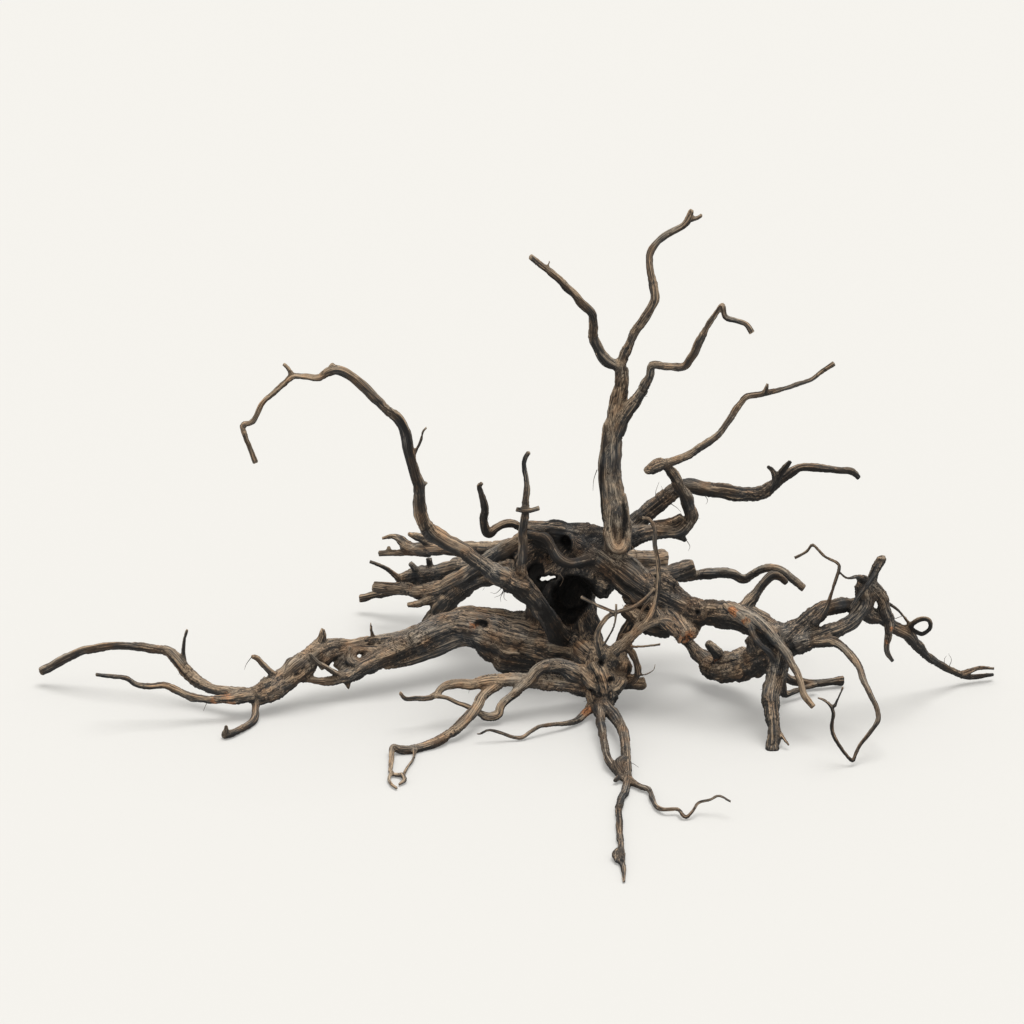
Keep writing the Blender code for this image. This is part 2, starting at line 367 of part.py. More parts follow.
def tube_bundle():
    """All roots as separate tubes in one object, overlapping where they branch."""
    mesh = bmesh.new()
    for stations in ROOTS.values():
        add_tube(mesh, stations)
    data = bpy.data.meshes.new("dry_root")
    mesh.to_mesh(data)
    mesh.free()
    root = bpy.data.objects.new("dry_root", data)
    bpy.context.scene.collection.objects.link(root)
    return root


def apply_modifier(root, kind, **settings):
    """Adds one modifier to the root and applies it."""
    modifier = root.modifiers.new(kind.lower(), kind)
    for name, value in settings.items():
        setattr(modifier, name, value)
    bpy.context.view_layer.objects.active = root
    bpy.ops.object.modifier_apply(modifier=modifier.name)


def grow_together(root):
    """Turns the overlapping tubes into one skin, with the natural webs in its forks."""
    apply_modifier(root, "REMESH", mode="VOXEL", voxel_size=SKIN_VOXEL, adaptivity=0.0)
    apply_modifier(root, "SMOOTH", factor=0.5, iterations=RELAX_ROUNDS)
    triangles = 2 * len(root.data.polygons)
    apply_modifier(root, "DECIMATE", decimate_type="COLLAPSE", ratio=FACETS / triangles,
                   use_collapse_triangulate=True)


def keep_largest_body(mesh):
    """Deletes every loose scrap of skin except the biggest."""
    unseen = set(mesh.verts)
    bodies = []
    while unseen:
        body = {unseen.pop()}
        edge_of_body = list(body)
        while edge_of_body:
            vert = edge_of_body.pop()
            for edge in vert.link_edges:
                other = edge.other_vert(vert)
                if other in unseen:
                    unseen.discard(other)
                    body.add(other)
                    edge_of_body.append(other)
        bodies.append(body)
    biggest = max(bodies, key=len)
    scraps = [vert for vert in mesh.verts if vert not in biggest]
    bmesh.ops.delete(mesh, geom=scraps, context="VERTS")


def cut_flat(mesh):
    """Cuts everything below the floor away, and closes the flat soles that this leaves."""
    everything = mesh.verts[:] + mesh.edges[:] + mesh.faces[:]
    cut = bmesh.ops.bisect_plane(mesh, geom=everything, dist=LEAST_EDGE, plane_co=(0, 0, 0),
                                 plane_no=(0, 0, 1), clear_inner=True)
    rim = [part for part in cut["geom_cut"] if isinstance(part, bmesh.types.BMEdge)]
    soles = bmesh.ops.holes_fill(mesh, edges=rim, sides=0)["faces"]
    bmesh.ops.triangulate(mesh, faces=soles)
    bmesh.ops.dissolve_degenerate(mesh, dist=LEAST_EDGE, edges=mesh.edges[:])
    bmesh.ops.triangulate(mesh, faces=mesh.faces[:])


def finish_solid(root):
    """One closed body with flat soles, standing on the floor with its middle over the origin."""
    mesh = bmesh.new()
    mesh.from_mesh(root.data)
    keep_largest_body(mesh)
    cut_flat(mesh)
    keep_largest_body(mesh)
    bmesh.ops.translate(mesh, verts=mesh.verts[:], vec=(-MIDDLE[0] * MM, -MIDDLE[1] * MM, 0.0))
    mesh.to_mesh(root.data)
    mesh.free()
    root.data.shade_smooth()


def wood_material():
    """Dry weathered root wood."""
    wood = bpy.data.materials.new("dry_wood")
    wood.use_nodes = True
    shader = wood.node_tree.nodes["Principled BSDF"]
    shader.inputs["Base Color"].default_value = WOOD
    shader.inputs["Roughness"].default_value = WOOD_ROUGHNESS
    shader.inputs["Metallic"].default_value = 0.0
    return wood


for old in list(bpy.data.objects):
    bpy.data.objects.remove(old)
dry_root = tube_bundle()
grow_together(dry_root)
finish_solid(dry_root)
dry_root.data.materials.append(wood_material())
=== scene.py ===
import math

import bpy
import numpy as np
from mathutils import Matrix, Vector


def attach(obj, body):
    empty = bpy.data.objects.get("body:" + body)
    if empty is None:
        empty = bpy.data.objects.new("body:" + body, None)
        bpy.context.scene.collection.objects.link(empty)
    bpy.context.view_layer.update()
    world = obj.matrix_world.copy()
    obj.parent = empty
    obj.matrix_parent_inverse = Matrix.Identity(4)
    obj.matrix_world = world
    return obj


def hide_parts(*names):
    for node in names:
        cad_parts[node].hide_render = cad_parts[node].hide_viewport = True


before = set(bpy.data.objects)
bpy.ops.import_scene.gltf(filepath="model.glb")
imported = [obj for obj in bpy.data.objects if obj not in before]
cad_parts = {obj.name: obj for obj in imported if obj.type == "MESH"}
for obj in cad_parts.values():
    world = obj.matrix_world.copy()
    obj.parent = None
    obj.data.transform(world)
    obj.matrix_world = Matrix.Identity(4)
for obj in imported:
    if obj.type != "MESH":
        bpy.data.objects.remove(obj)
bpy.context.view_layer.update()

# ---- The surface it lies on, the light and the view.
# A plain pale floor under a broad soft light from above and a little behind, as in a studio, and a
# long lens that looks down on the root at a low angle.
floor_colour = (0.555, 0.546, 0.522, 1)
floor_glow = 0.222
room_colour = (1.0, 0.985, 0.955, 1)
room_strength = 0.62
overhead_power = 2.05
overhead_spread = math.radians(40)
overhead_from = Vector((0.12, 0.22, 1.0))
aim = Vector((-0.006, 0.152, 0.24))
eye_distance = 5.33
eye_elevation = math.radians(22)

bpy.ops.object.select_all(action="DESELECT")
bpy.ops.mesh.primitive_plane_add(size=30)
floor = bpy.context.object
floor.name = "pale_floor"
floor_paint = bpy.data.materials.new("pale_floor_paint")
floor_paint.use_nodes = True
floor_shader = floor_paint.node_tree.nodes["Principled BSDF"]
floor_shader.inputs["Base Color"].default_value = floor_colour
floor_shader.inputs["Roughness"].default_value = 0.9
floor_shader.inputs["Emission Color"].default_value = (1.0, 0.985, 0.95, 1)
floor_shader.inputs["Emission Strength"].default_value = floor_glow
floor_shader.inputs["Specular IOR Level"].default_value = 0.1
floor.data.materials.append(floor_paint)

room = bpy.data.worlds.new("soft_room")
room.use_nodes = True
room.node_tree.nodes["Background"].inputs["Color"].default_value = room_colour
room.node_tree.nodes["Background"].inputs["Strength"].default_value = room_strength
bpy.context.scene.world = room
bpy.context.scene.view_settings.view_transform = "Standard"

bpy.ops.object.light_add(type="SUN", location=(0.9, 1.3, 2.6))
overhead = bpy.context.object
overhead.name = "overhead_light"
overhead.data.energy = overhead_power
overhead.data.angle = overhead_spread
overhead.rotation_euler = overhead_from.to_track_quat("Z", "Y").to_euler()

toward_eye = Vector((0, -math.cos(eye_elevation), math.sin(eye_elevation)))
bpy.ops.object.camera_add(location=aim + eye_distance * toward_eye)
camera = bpy.context.object
camera.name = "view_camera"
camera.rotation_euler = (-toward_eye).to_track_quat("-Z", "Y").to_euler()
camera.data.lens = 150
camera.data.sensor_width = 36
camera.data.clip_end = 60
bpy.context.scene.camera = camera

# ---- The dry root.
# It grew as one piece: a stump with heavy side roots, a forked stem and wiry rootlets, all of old
# hard wood, washed and dried. Each root is swept along its own route, and all are grown together
# into one skin, which is then grooved along the grain.
mm = 0.001
middle = (6.0, -152.0)
# Each root: the places that its middle passes through, as (x, y, z, radius) in millimetres, from
# where it leaves the stump or its parent root to its tip.
ROOTS = {
    # The stump and the crown of heavy wood on it.
    "stump": [(72, 50, -6, 50), (67, 50, 45, 48), (62, 50, 90, 46), (70, 46, 130, 41), (90, 40, 168, 33),
        (110, 34, 190, 26)],
    "stump_shoulder": [(18, 72, 112, 20), (26, 68, 146, 22), (48, 58, 178, 17)],
    "crown_back": [(30, 56, 186, 12), (52, 48, 180, 15), (84, 44, 178, 18)],
    "crown_heart": [(80, 30, 150, 26), (105, 18, 140, 24), (125, 8, 136, 20)],
    "crown_ridge": [(18, 42, 199, 12), (60, 40, 197, 15.5), (97, 36, 190, 18), (126, 30, 182, 20)],
    "crown_loop": [(20, 16, 203, 6), (41, 6, 203, 7), (50, 0, 191, 6.5), (58, -5, 180, 7),
        (71, -5, 172, 7), (87, 0, 172, 7.5), (106, 10, 174, 10)],
    "crown_knob": [(98, 25, 158, 17), (90, -4, 148, 16)],
    "crown_lobe": [(70, 40, 200, 9), (74, 22, 192, 7), (72, 14, 184, 5)],
    # The upright stem and its three branches.
    "stem": [(132, 12, 186, 19), (132, 15, 230, 17), (125, 20, 268, 15.4), (123, 25, 307, 13),
        (127, 30, 345, 11.5), (133, 35, 377, 10.5), (136, 36, 403, 9), (134, 36, 425, 7.5)],
    "stem_rib": [(123, 0, 209, 8), (115, 8, 265, 7), (115, 18, 309, 6.5), (118, 24, 350, 5)],
    "stem_strap": [(140, 40, 417, 4.5), (141, 34, 396, 5), (137, 30, 372, 5.5)],
    "stem_left_fork": [(134, 36, 418, 7.5), (116, 35, 431, 7.5), (102, 30, 454, 7.2), (100, 25, 476, 6.2),
        (98, 20, 495, 5.7), (85, 15, 512, 5.6), (67, 10, 533, 5.4), (50, 5, 551, 4.8), (36, -1, 564, 4.6),
        (22, -5, 578, 3.8)],
    "stem_left_hair": [(45, 4, 552, 2), (44, 3, 562, 1.4), (46, 3, 570, 1)],
    "stem_top_fork": [(134, 36, 421, 7.5), (148, 40, 456, 6), (162, 43, 479, 5.8), (175, 46, 500, 5.7),
        (175, 50, 518, 5.8), (171, 53, 540, 5), (169, 56, 559, 4.7), (178, 60, 574, 4.7),
        (194, 62, 586, 4.5), (211, 65, 595, 4.5), (218, 66, 604, 4.6), (221, 66, 615, 3.4)],
    "stem_top_prong": [(218, 66, 602, 4), (227, 64, 604, 3), (234, 63, 609, 2.8)],
    "stem_side_branch": [(127, 28, 318, 6), (132, 26, 338, 9), (139, 23, 358, 9), (150, 21, 377, 8.3),
        (161, 18, 395, 7), (169, 14, 413, 5.8), (173, 10, 431, 5.6), (190, 5, 432, 5), (211, 0, 434, 5.4),
        (223, -4, 452, 5.6), (232, -8, 473, 5.2), (240, -12, 491, 4), (249, -15, 507, 3.4),
        (257, -18, 520, 3.4), (260, -22, 506, 3.4), (274, -26, 502, 3.8), (286, -30, 499, 3.8),
        (293, -34, 489, 4)],
    # The tall hook on the left, the stick beside it and the twig behind them.
    "hook": [(64, 24, 48, 11), (56, 8, 68, 9), (45, -4, 92, 9.5), (35, -12, 112, 11), (22, -20, 136, 13),
        (-2, -30, 158, 14), (-21, -32, 168, 13), (-35, -34, 181, 11), (-50, -36, 194, 10),
        (-65, -38, 206, 9.5), (-83, -40, 217, 9.8), (-101, -42, 231, 9.8), (-110, -45, 250, 8.5),
        (-114, -46, 267, 8.2), (-115, -50, 292, 7.4), (-121, -53, 317, 7), (-127, -56, 345, 7),
        (-131, -58, 369, 7), (-140, -60, 388, 7), (-159, -62, 406, 6), (-178, -63, 427, 6),
        (-193, -64, 442, 6), (-209, -65, 452, 6), (-222, -66, 451, 5.8), (-236, -67, 443, 4.5),
        (-252, -68, 445, 4.2), (-267, -70, 446, 4.5), (-279, -72, 436, 3.8), (-292, -74, 424, 3.5),
        (-304, -76, 413, 3.5), (-311, -78, 399, 3.5), (-318, -79, 390, 3.8), (-328, -80, 386, 4),
        (-325, -82, 371, 3.5), (-319, -84, 356, 3.4), (-313, -86, 339, 3.8)],
    "hook_shoulder": [(-212, -65, 452, 5), (-220, -65, 461, 3)],
    "hook_peg": [(-267, -70, 447, 3.5), (-273, -70, 458, 2.6), (-278, -69, 462, 2.4)],
    "hook_whip": [(-124, -54, 322, 3), (-119, -54, 340, 2.2), (-112, -54, 356, 2), (-109, -55, 369, 1.8),
        (-104, -55, 374, 1.6)],
    "hook_thorn": [(-114, -50, 291, 3), (-104, -50, 300, 1.6)],
    "stick": [(12, -22, 155, 8), (12, -30, 187, 6), (13, -32, 215, 5.8), (16, -34, 243, 5.6),
        (17, -36, 262, 5), (18, -38, 281, 4.2), (17, -40, 301, 3.7), (15, -42, 318, 3.4),
        (16, -43, 328, 3.2), (21, -44, 338, 3.2)],
    "stick_peg": [(5, -38, 259, 3.2), (20, -42, 259, 3.2), (34, -44, 263, 3.4)],
    "crown_twig": [(41, 34, 200, 7), (16, 30, 206, 6), (-4, 22, 216, 5.5), (-19, 15, 213, 5.3),
        (-31, 10, 207, 5.8), (-35, 8, 224, 5.4), (-34, 6, 245, 5), (-38, 4, 263, 4), (-41, 3, 273, 3.6),
        (-37, 0, 279, 3)],
    # The roots that run back and to the left.
    "back_high": [(43, 55, 172, 15), (-2, 100, 148, 12), (-41, 140, 132, 10.5), (-80, 170, 119, 10),
        (-113, 190, 112, 9.5), (-134, 200, 110, 9), (-144, 203, 117, 6), (-155, 206, 122, 4),
        (-170, 210, 118, 2.5)],
    "back_high_prong": [(-106, 190, 106, 6), (-140, 200, 102, 4.6), (-160, 205, 100, 4.2),
        (-174, 210, 97, 4.2)],
    "back_high_peg": [(-161, 206, 100, 3.4), (-161, 206, 109, 2.2)],
    "back_high_nub": [(-98, 186, 120, 6.5), (-120, 183, 129, 6), (-135, 181, 137, 2.8)],
    "back_flat": [(15, 90, 146, 14), (-28, 150, 108, 13), (-61, 195, 84, 13), (-93, 218, 67, 13),
        (-126, 228, 57, 11), (-152, 230, 50, 8)],
    "back_flat_twig": [(-148, 226, 54, 4.5), (-161, 225, 66, 3.4), (-172, 225, 73, 3),
        (-187, 225, 79, 2.6)],
    "back_flat_nub": [(-122, 226, 62, 5), (-134, 222, 78, 4)],
    "back_flat_peg": [(-107, 223, 68, 6), (-109, 222, 85, 4.2)],
    "back_sawn": [(20, 32, 195, 9.5), (-15, 60, 162, 10), (-41, 95, 127, 10.5), (-67, 125, 97, 10.8),
        (-93, 150, 73, 10.8), (-119, 170, 60, 9.8), (-148, 185, 57, 8.8), (-181, 195, 56, 8.8)],
    "back_sawn_prong": [(-92, 150, 64, 8), (-119, 155, 50, 5.5), (-136, 160, 45, 4)],
    "back_low": [(-80, 205, 66, 10), (-107, 220, 51, 8), (-146, 230, 37, 6), (-175, 235, 28, 5.2),
        (-201, 240, 20, 5.2)],
    "back_foot": [(0, 70, 136, 13), (-45, 112, 100, 12), (-69, 132, 77, 13.5), (-86, 150, 51, 14.5),
        (-99, 161, 26, 14.5), (-110, 170, -4, 12)],
    # The heavy arm to the left, and the two runners that it ends in.
    "arm": [(98, 30, 35, 30), (60, 20, 43, 28), (22, 15, 53, 26), (-9, 25, 57, 24.5), (-41, 35, 64, 21.5),
        (-73, 40, 67, 20.5), (-104, 30, 60, 19.5), (-136, 10, 51, 17.5), (-162, -5, 45, 15),
        (-188, -18, 37, 13), (-206, -28, 30, 10.5), (-226, -38, 27, 6.5), (-245, -46, 30, 5),
        (-266, -54, 36, 4.7), (-285, -60, 40, 4.7), (-299, -65, 48, 4.5), (-310, -69, 61, 4.3),
        (-318, -73, 73, 4.3), (-325, -77, 77, 3.5)],
    "arm_back": [(60, 50, 60, 22), (-15, 60, 68, 13), (-53, 68, 70, 12), (-91, 55, 66, 12),
        (-123, 35, 59, 11), (-155, 20, 56, 10.5), (-183, 10, 58, 8.5), (-207, -5, 59, 8.5),
        (-232, -15, 62, 12), (-251, -30, 55, 16.5), (-271, -48, 44, 18), (-293, -63, 32, 17.5),
        (-313, -75, 26, 14.5), (-334, -83, 26, 10), (-353, -88, 26, 7)],
    "arm_underside": [(40, 25, 24, 22), (0, 20, 30, 22), (-24, 25, 36, 13), (-56, 28, 54, 9),
        (-102, 18, 42, 9), (-132, 5, 37, 9), (-161, -8, 35, 7)],
    "arm_strap": [(-147, 0, 44, 8), (-176, -5, 53, 7), (-203, -12, 57, 6), (-225, -20, 54, 8),
        (-243, -33, 47, 10)],
    "arm_barb": [(-208, -31, 22, 5), (-206, -32, 11, 1.8)],
    "arm_knot": [(-196, -16, 52, 6), (-213, -20, 46, 7), (-222, -26, 38, 6)],
    "arm_crest": [(-244, -22, 63, 12), (-239, -20, 79, 5.4), (-238, -20, 90, 2.8)],
    "arm_thorn": [(-176, 12, 64, 3), (-178, 12, 74, 2), (-179, 12, 85, 1.2)],
    "arm_spur": [(-191, -20, 39, 8), (-206, -22, 49, 6), (-204, -18, 65, 3)],
    "arm_twig": [(-215, -35, 30, 5), (-234, -45, 48, 3.4), (-246, -50, 59, 2.8), (-254, -54, 71, 2.6)],
    "runner_back": [(-334, -80, 27, 9), (-354, -75, 28, 7.5), (-377, -62, 28, 7.5), (-396, -50, 32, 8.5),
        (-409, -42, 41, 8), (-421, -35, 54, 7.5), (-433, -28, 62, 6.8), (-451, -22, 63, 6.2),
        (-476, -15, 63, 6), (-502, -10, 62, 5.8), (-527, -5, 56, 5.7), (-550, 0, 48, 5.8),
        (-571, 3, 36, 6), (-586, 6, 26, 6), (-599, 8, 18, 5.5)],
    "runner_thorn": [(-413, -36, 51, 4), (-413, -36, 67, 2.8), (-411, -36, 83, 2.4), (-407, -36, 96, 2.2)],
    "runner_front": [(-323, -86, 27, 8.5), (-356, -95, 26, 6.2), (-378, -98, 28, 5.5),
        (-400, -100, 32, 5.4), (-418, -101, 42, 4.8), (-432, -102, 49, 4.2), (-451, -103, 48, 3.8),
        (-467, -104, 51, 3.7), (-478, -105, 59, 3.5), (-495, -107, 63, 3.2), (-517, -110, 67, 2.6)],
    "left_foot": [(-320, -80, 21, 7), (-321, -92, 13, 4.6), (-321, -104, 6, 5), (-326, -119, 3.5, 5),
        (-341, -142, 5, 4.6), (-357, -156, 5, 5)],
    "left_foot_nub": [(-354, -154, 6, 4.5), (-353, -153, 18, 2.6)],
    # The roots that run back and to the right.
    "sawn_log": [(95, 60, 145, 19), (143, 90, 133, 17), (169, 105, 127, 16.5), (194, 120, 123, 16.5)],
    "right_back": [(95, 60, 135, 16), (134, 66, 124, 14), (165, 78, 117, 13), (198, 90, 117, 12.5),
        (232, 102, 123, 12)],
    "right_back_rod": [(213, 98, 113, 8.5), (245, 105, 112, 7), (281, 110, 110, 6.5), (297, 112, 103, 6.5),
        (310, 112, 109, 6), (325, 110, 117, 5.7), (341, 107, 118, 5.6), (355, 104, 110, 5.7),
        (375, 100, 94, 5.4)],
    "black_arm": [(124, 34, 180, 15), (158, 50, 207, 12), (183, 60, 225, 11.3), (204, 70, 238, 10.4),
        (222, 75, 246, 9.4), (243, 80, 240, 9.4), (269, 85, 234, 9.8), (296, 90, 228, 10.4),
        (317, 93, 228, 9.8), (332, 95, 238, 7.4), (350, 98, 252, 6), (366, 100, 261, 5.4),
        (385, 102, 260, 5.2), (411, 104, 256, 5), (431, 105, 254, 5), (442, 105, 244, 3.8)],
    "black_arm_curl": [(328, 92, 234, 6), (333, 88, 249, 4.4), (330, 86, 262, 3.4), (323, 85, 268, 2.6)],
    "black_arm_peg": [(332, 93, 240, 5), (344, 85, 264, 4.4), (352, 82, 276, 3.2)],
    "elbow": [(135, 28, 186, 15), (172, 30, 201, 10.5), (196, 28, 203, 9.6), (213, 25, 207, 9.4),
        (224, 22, 224, 8.8), (220, 20, 248, 8.6), (211, 16, 267, 7.6), (200, 12, 286, 6.8),
        (192, 8, 299, 6)],
    "elbow_strap": [(176, 35, 209, 5.5), (197, 30, 214, 5.5), (214, 25, 224, 6)],
    "elbow_nub": [(210, 26, 200, 7), (219, 26, 190, 3)],
    "elbow_knob": [(195, 8, 302, 6), (182, 4, 301, 9.6), (172, 0, 297.5, 8.2), (167, -1.5, 296, 6),
        (164.5, -2.5, 295, 3)],
    "wand": [(190, 6, 302, 6.5), (217, 8, 312, 5.6), (235, 10, 324, 5.2), (253, 12, 336, 5),
        (263, 14, 347, 4.6), (274, 16, 364, 4.3), (283, 18, 378, 4.2), (291, 20, 386, 4.2),
        (306, 22, 388, 3.8), (322, 24, 391, 3.5), (341, 26, 396, 3.2), (357, 28, 401, 3.1),
        (372, 30, 405, 2.9), (384, 31, 415, 2.8), (400, 32, 426, 3.2)],
    "wand_peg": [(314, 22, 390, 3.6), (317, 22, 403, 2.3)],
    # The main arm to the right, its hub, its foot and what hangs on them.
    "right_arm": [(95, 32, 178, 26), (118, 18, 169, 24), (143, 2, 154, 22.5), (170, -15, 138, 23),
        (195, -30, 132, 22.5), (221, -45, 125, 19.5), (251, -55, 126, 17.5), (283, -65, 124, 16.5),
        (312, -80, 115, 17), (337, -90, 102, 22), (357, -90, 101, 17)],
    "right_boss": [(183, -18, 150, 19), (203, -30, 146, 15)],
    "inner_prop": [(158, -24, 112, 10), (150, -24, 98, 8), (144, -26, 86, 8), (139, -30, 74, 8),
        (134, -38, 62, 9)],
    "torn_stub": [(224, -46, 122, 17), (220, -52, 108, 15), (213, -56, 96, 10)],
    "torn_lip": [(228, -50, 116, 14), (226, -56, 102, 9)],
    "bridge_block": [(140, -28, 120, 9), (158, -42, 113, 12), (177, -46, 106, 13), (197, -50, 103, 12)],
    "right_upper": [(345, -90, 110, 19), (371, -85, 130, 12.8), (389, -75, 140, 10.5),
        (409, -65, 141, 9.2), (428, -55, 138, 9), (446, -48, 138, 10)],
    "right_lower": [(350, -98, 103, 16), (388, -95, 115, 11), (412, -85, 121, 10.5), (428, -75, 130, 10.5),
        (439, -66, 143, 9.8), (437, -60, 156, 12), (435, -55, 167, 10.5)],
    "right_horn": [(444, -52, 160, 8.5), (451, -50, 180, 6), (458, -50, 194, 6.4), (459, -50, 200, 6)],
    "right_node": [(436, -56, 168, 8), (430, -58, 178, 4)],
    "right_stay": [(457, -55, 192, 4), (446, -75, 181, 3.5), (434, -85, 169, 3), (426, -88, 158, 3),
        (418, -90, 146, 2.8)],
    "right_drop": [(445, -55, 164, 10), (459, -58, 148, 9.2), (466, -60, 130, 8.5), (471, -62, 115, 7.5),
        (470, -64, 101, 5.2), (467, -66, 87, 4), (469, -67, 77, 3.8), (476, -68, 66, 3)],
    "right_runner": [(440, -62, 131, 11), (461, -52, 116, 8.5), (478, -45, 104, 8), (495, -38, 92, 8.3),
        (508, -30, 73, 7.4), (523, -20, 53, 6.2), (540, -10, 36.5, 5.4), (557, 0, 23, 4.8),
        (576, 10, 11, 4.5), (594, 16, 8, 3.5), (614, 22, 8, 2.4)],
    "right_runner_prong": [(572, 8, 15, 4), (594, 15, 20, 3), (614, 18, 18, 2)],
    "right_ring": [(494, -40, 99, 4), (504, -45, 110, 3.6), (513, -50, 116, 3.4), (521, -55, 116, 3.2),
        (522, -56, 106, 3.2), (512, -54, 97, 3.2), (501, -46, 100, 3.2)],
    "right_thread": [(466, -52, 141, 2.5), (481, -45, 127, 2), (490, -42, 116, 2), (500, -40, 103, 2.2)],
    "swing_root": [(360, -98, 107, 8), (379, -105, 108, 7.5), (394, -110, 111, 7.2), (407, -120, 110, 5.8),
        (418, -130, 102, 6), (426, -140, 93, 5), (432, -155, 79, 4.4), (440, -170, 66, 3.8),
        (447, -185, 54, 3.5), (448, -195, 44, 3.4), (439, -205, 34, 3), (427, -215, 23, 2.7),
        (419, -225, 14, 2.6), (415, -232, 7, 2.7), (405, -230, 17, 2.6), (397, -228, 28, 2.6),
        (391, -226, 39, 2.7), (389, -224, 50, 2.7), (391, -222, 65, 2.5), (387, -220, 75, 2.2),
        (380, -218, 81, 2), (371, -216, 84, 1.6)],
    "swing_twig": [(392, -222, 74, 2.2), (397, -222, 88, 1.7), (402, -223, 102, 1.5)],
    "right_foot": [(335, -92, 98, 20), (329, -105, 78, 14), (325, -120, 61, 12.5), (320, -140, 47, 12),
        (321, -155, 32, 9.8), (322, -170, 17, 8), (320, -186, -5, 9)],
    "right_foot_twig": [(327, -170, 20, 3), (335, -180, 11, 2.2), (341, -187, 6, 1.5)],
    "pale_branch": [(268, -74, 142, 7), (296, -90, 137, 7.8), (311, -100, 128, 7.2), (327, -110, 112, 6.2),
        (340, -120, 98, 5.6), (350, -130, 82, 5), (357, -140, 68, 4.6), (361, -148, 56, 4.6),
        (372, -155, 43, 4.2)],
    "torn_flap": [(262, -80, 146, 4), (280, -90, 138, 5.5), (293, -94, 130, 4)],
    "hub_strap": [(294, -92, 132, 5), (299, -105, 118, 4), (308, -110, 106, 4), (320, -112, 97, 4),
        (326, -112, 86, 5)],
    "hub_spur": [(282, -62, 127, 11), (294, -55, 139, 8.4), (306, -48, 151, 6.6), (316, -42, 163, 5.8),
        (325, -38, 169, 5.8), (335, -34, 165, 5.2), (343, -32, 157, 4.5)],
    "keel": [(334, -82, 90, 21), (313, -60, 67, 18.5), (295, -35, 48, 19), (273, -15, 33.5, 20.5),
        (256, 0, 29, 17.5), (243, 15, 33, 10.8), (232, 28, 41, 8.4), (219, 38, 50, 7.4),
        (201, 42, 61, 7.4), (187, 38, 74, 8.2), (172, 24, 88, 10.5), (163, 10, 106, 12),
        (152, 0, 128, 15)],
    "keel_stub": [(261, -18, 52, 8), (252, -20, 62, 6.8), (246, -20, 71, 5.4)],
    "hub_web": [(298, -62, 97, 10), (306, -62, 80, 14)],
    "hub_brow": [(300, -62, 128, 9), (318, -72, 123, 9)],
    "hub_claw": [(336, -66, 70, 11), (341, -38, 35, 7), (357, -18, 17, 5.8), (377, -8, 10, 5.4),
        (397, -3, 8, 4.8), (413, 1, 8.5, 6), (421, 3, 7.5, 6.4)],
    "hub_claw_low": [(336, -70, 60, 9), (339, -52, 28, 6), (343, -46, 11, 5), (357, -38, 12, 3.8),
        (370, -28, 12, 3.6), (385, -20, 13, 4.4)],
    "whip": [(374, -98, 131, 6), (385, -102, 147, 3.6), (391, -102, 160, 3.2), (395, -100, 176, 2.4),
        (400, -98, 191, 2.4), (403, -96, 205, 2.4), (400, -94, 211, 2.3), (386, -90, 217, 2),
        (377, -87, 225, 1.9), (370, -85, 231, 2.2), (363, -83, 221, 2), (349, -80, 211, 2.2)],
    "whip_tie": [(403, -95, 199, 1.8), (413, -90, 189, 1.8), (428, -76, 184, 3), (438, -62, 174, 6)],
    # The bundle of roots in front, on its own knuckle of wood.
    "knuckle": [(95, 10, 45, 24), (112, -40, 48, 24), (110, -58, 36, 22), (107, -66, 22, 18),
        (110, -84, 11, 12)],
    "knuckle_neck": [(114, -50, 48, 22), (120, -58, 62, 17), (124, -66, 76, 10)],
    "knuckle_cheek": [(112, -48, 50, 18), (133, -52, 52, 15), (139, -53, 64, 12)],
    "knuckle_toe": [(112, -64, 28, 10), (121, -70, 15, 6.5), (126, -74, 7, 4)],
    "knuckle_fin": [(132, -45, 62, 10), (142, -32, 78, 8), (146, -24, 92, 6.5)],
    "knuckle_stub": [(118, -52, 34, 14), (140, -50, 28, 9.5), (160, -48, 27, 8), (168, -48, 28, 7.5)],
    "knuckle_handle": [(130, -66, 88, 6), (147, -68, 80, 5), (156, -68, 62, 5), (156, -64, 44, 5),
        (142, -54, 33, 7)],
    "knuckle_hook": [(157, -68, 47, 2), (166, -72, 50, 1.4), (176, -75, 57, 1.2), (179, -75, 66, 1)],
    "long_rootlet": [(121, -66, 72, 9), (141, -68, 92, 6.5), (157, -68, 109, 5.2), (169, -67, 123, 4.4),
        (177, -66, 139, 3.8), (181, -65, 159, 3.5), (182, -65, 180, 3.5), (181, -65, 202, 3.2),
        (177, -66, 222, 3.1), (176, -67, 243, 2.9), (170, -68, 257, 2.6), (160, -70, 261, 2.4)],
    "bridge_rootlet": [(143, -69, 94, 5.5), (163, -70, 112, 4.6), (180, -68, 120, 4.4),
        (193, -66, 121, 4.8), (206, -62, 110, 7)],
    "arc_rootlet": [(114, -70, 74, 8), (107, -76, 96, 4.5), (108, -78, 114, 3.4), (117, -78, 129, 3.3),
        (130, -77, 137, 3.1), (148, -75, 142, 3.1), (164, -73, 152, 2.8), (177, -69, 166, 2.6)],
    "arc_feeler": [(128, -78, 137, 2.8), (112, -79, 144, 2.4), (98, -80, 152, 2.3), (85, -80, 159, 2.3)],
    "arc_thread": [(114, -76, 92, 1.8), (125, -81, 115, 1.6), (129, -82, 134, 1.8), (129, -82, 151, 1.8)],
    "inner_rootlet": [(150, -67, 102, 3), (157, -64, 121, 2.4), (164, -62, 137, 2.4),
        (176, -62, 151, 2.6)],
    "side_thread": [(141, -69, 86, 2.2), (163, -75, 90, 1.8), (185, -80, 95, 1.8)],
    "front_left_bend": [(104, -60, 36, 17), (81, -66, 49, 12), (61, -71, 61, 10), (45, -76, 63, 9),
        (33, -81, 60, 7.8), (22, -86, 49, 7.2), (9, -92, 39, 6.6), (-6, -99, 29, 5.5), (-14, -105, 21, 5),
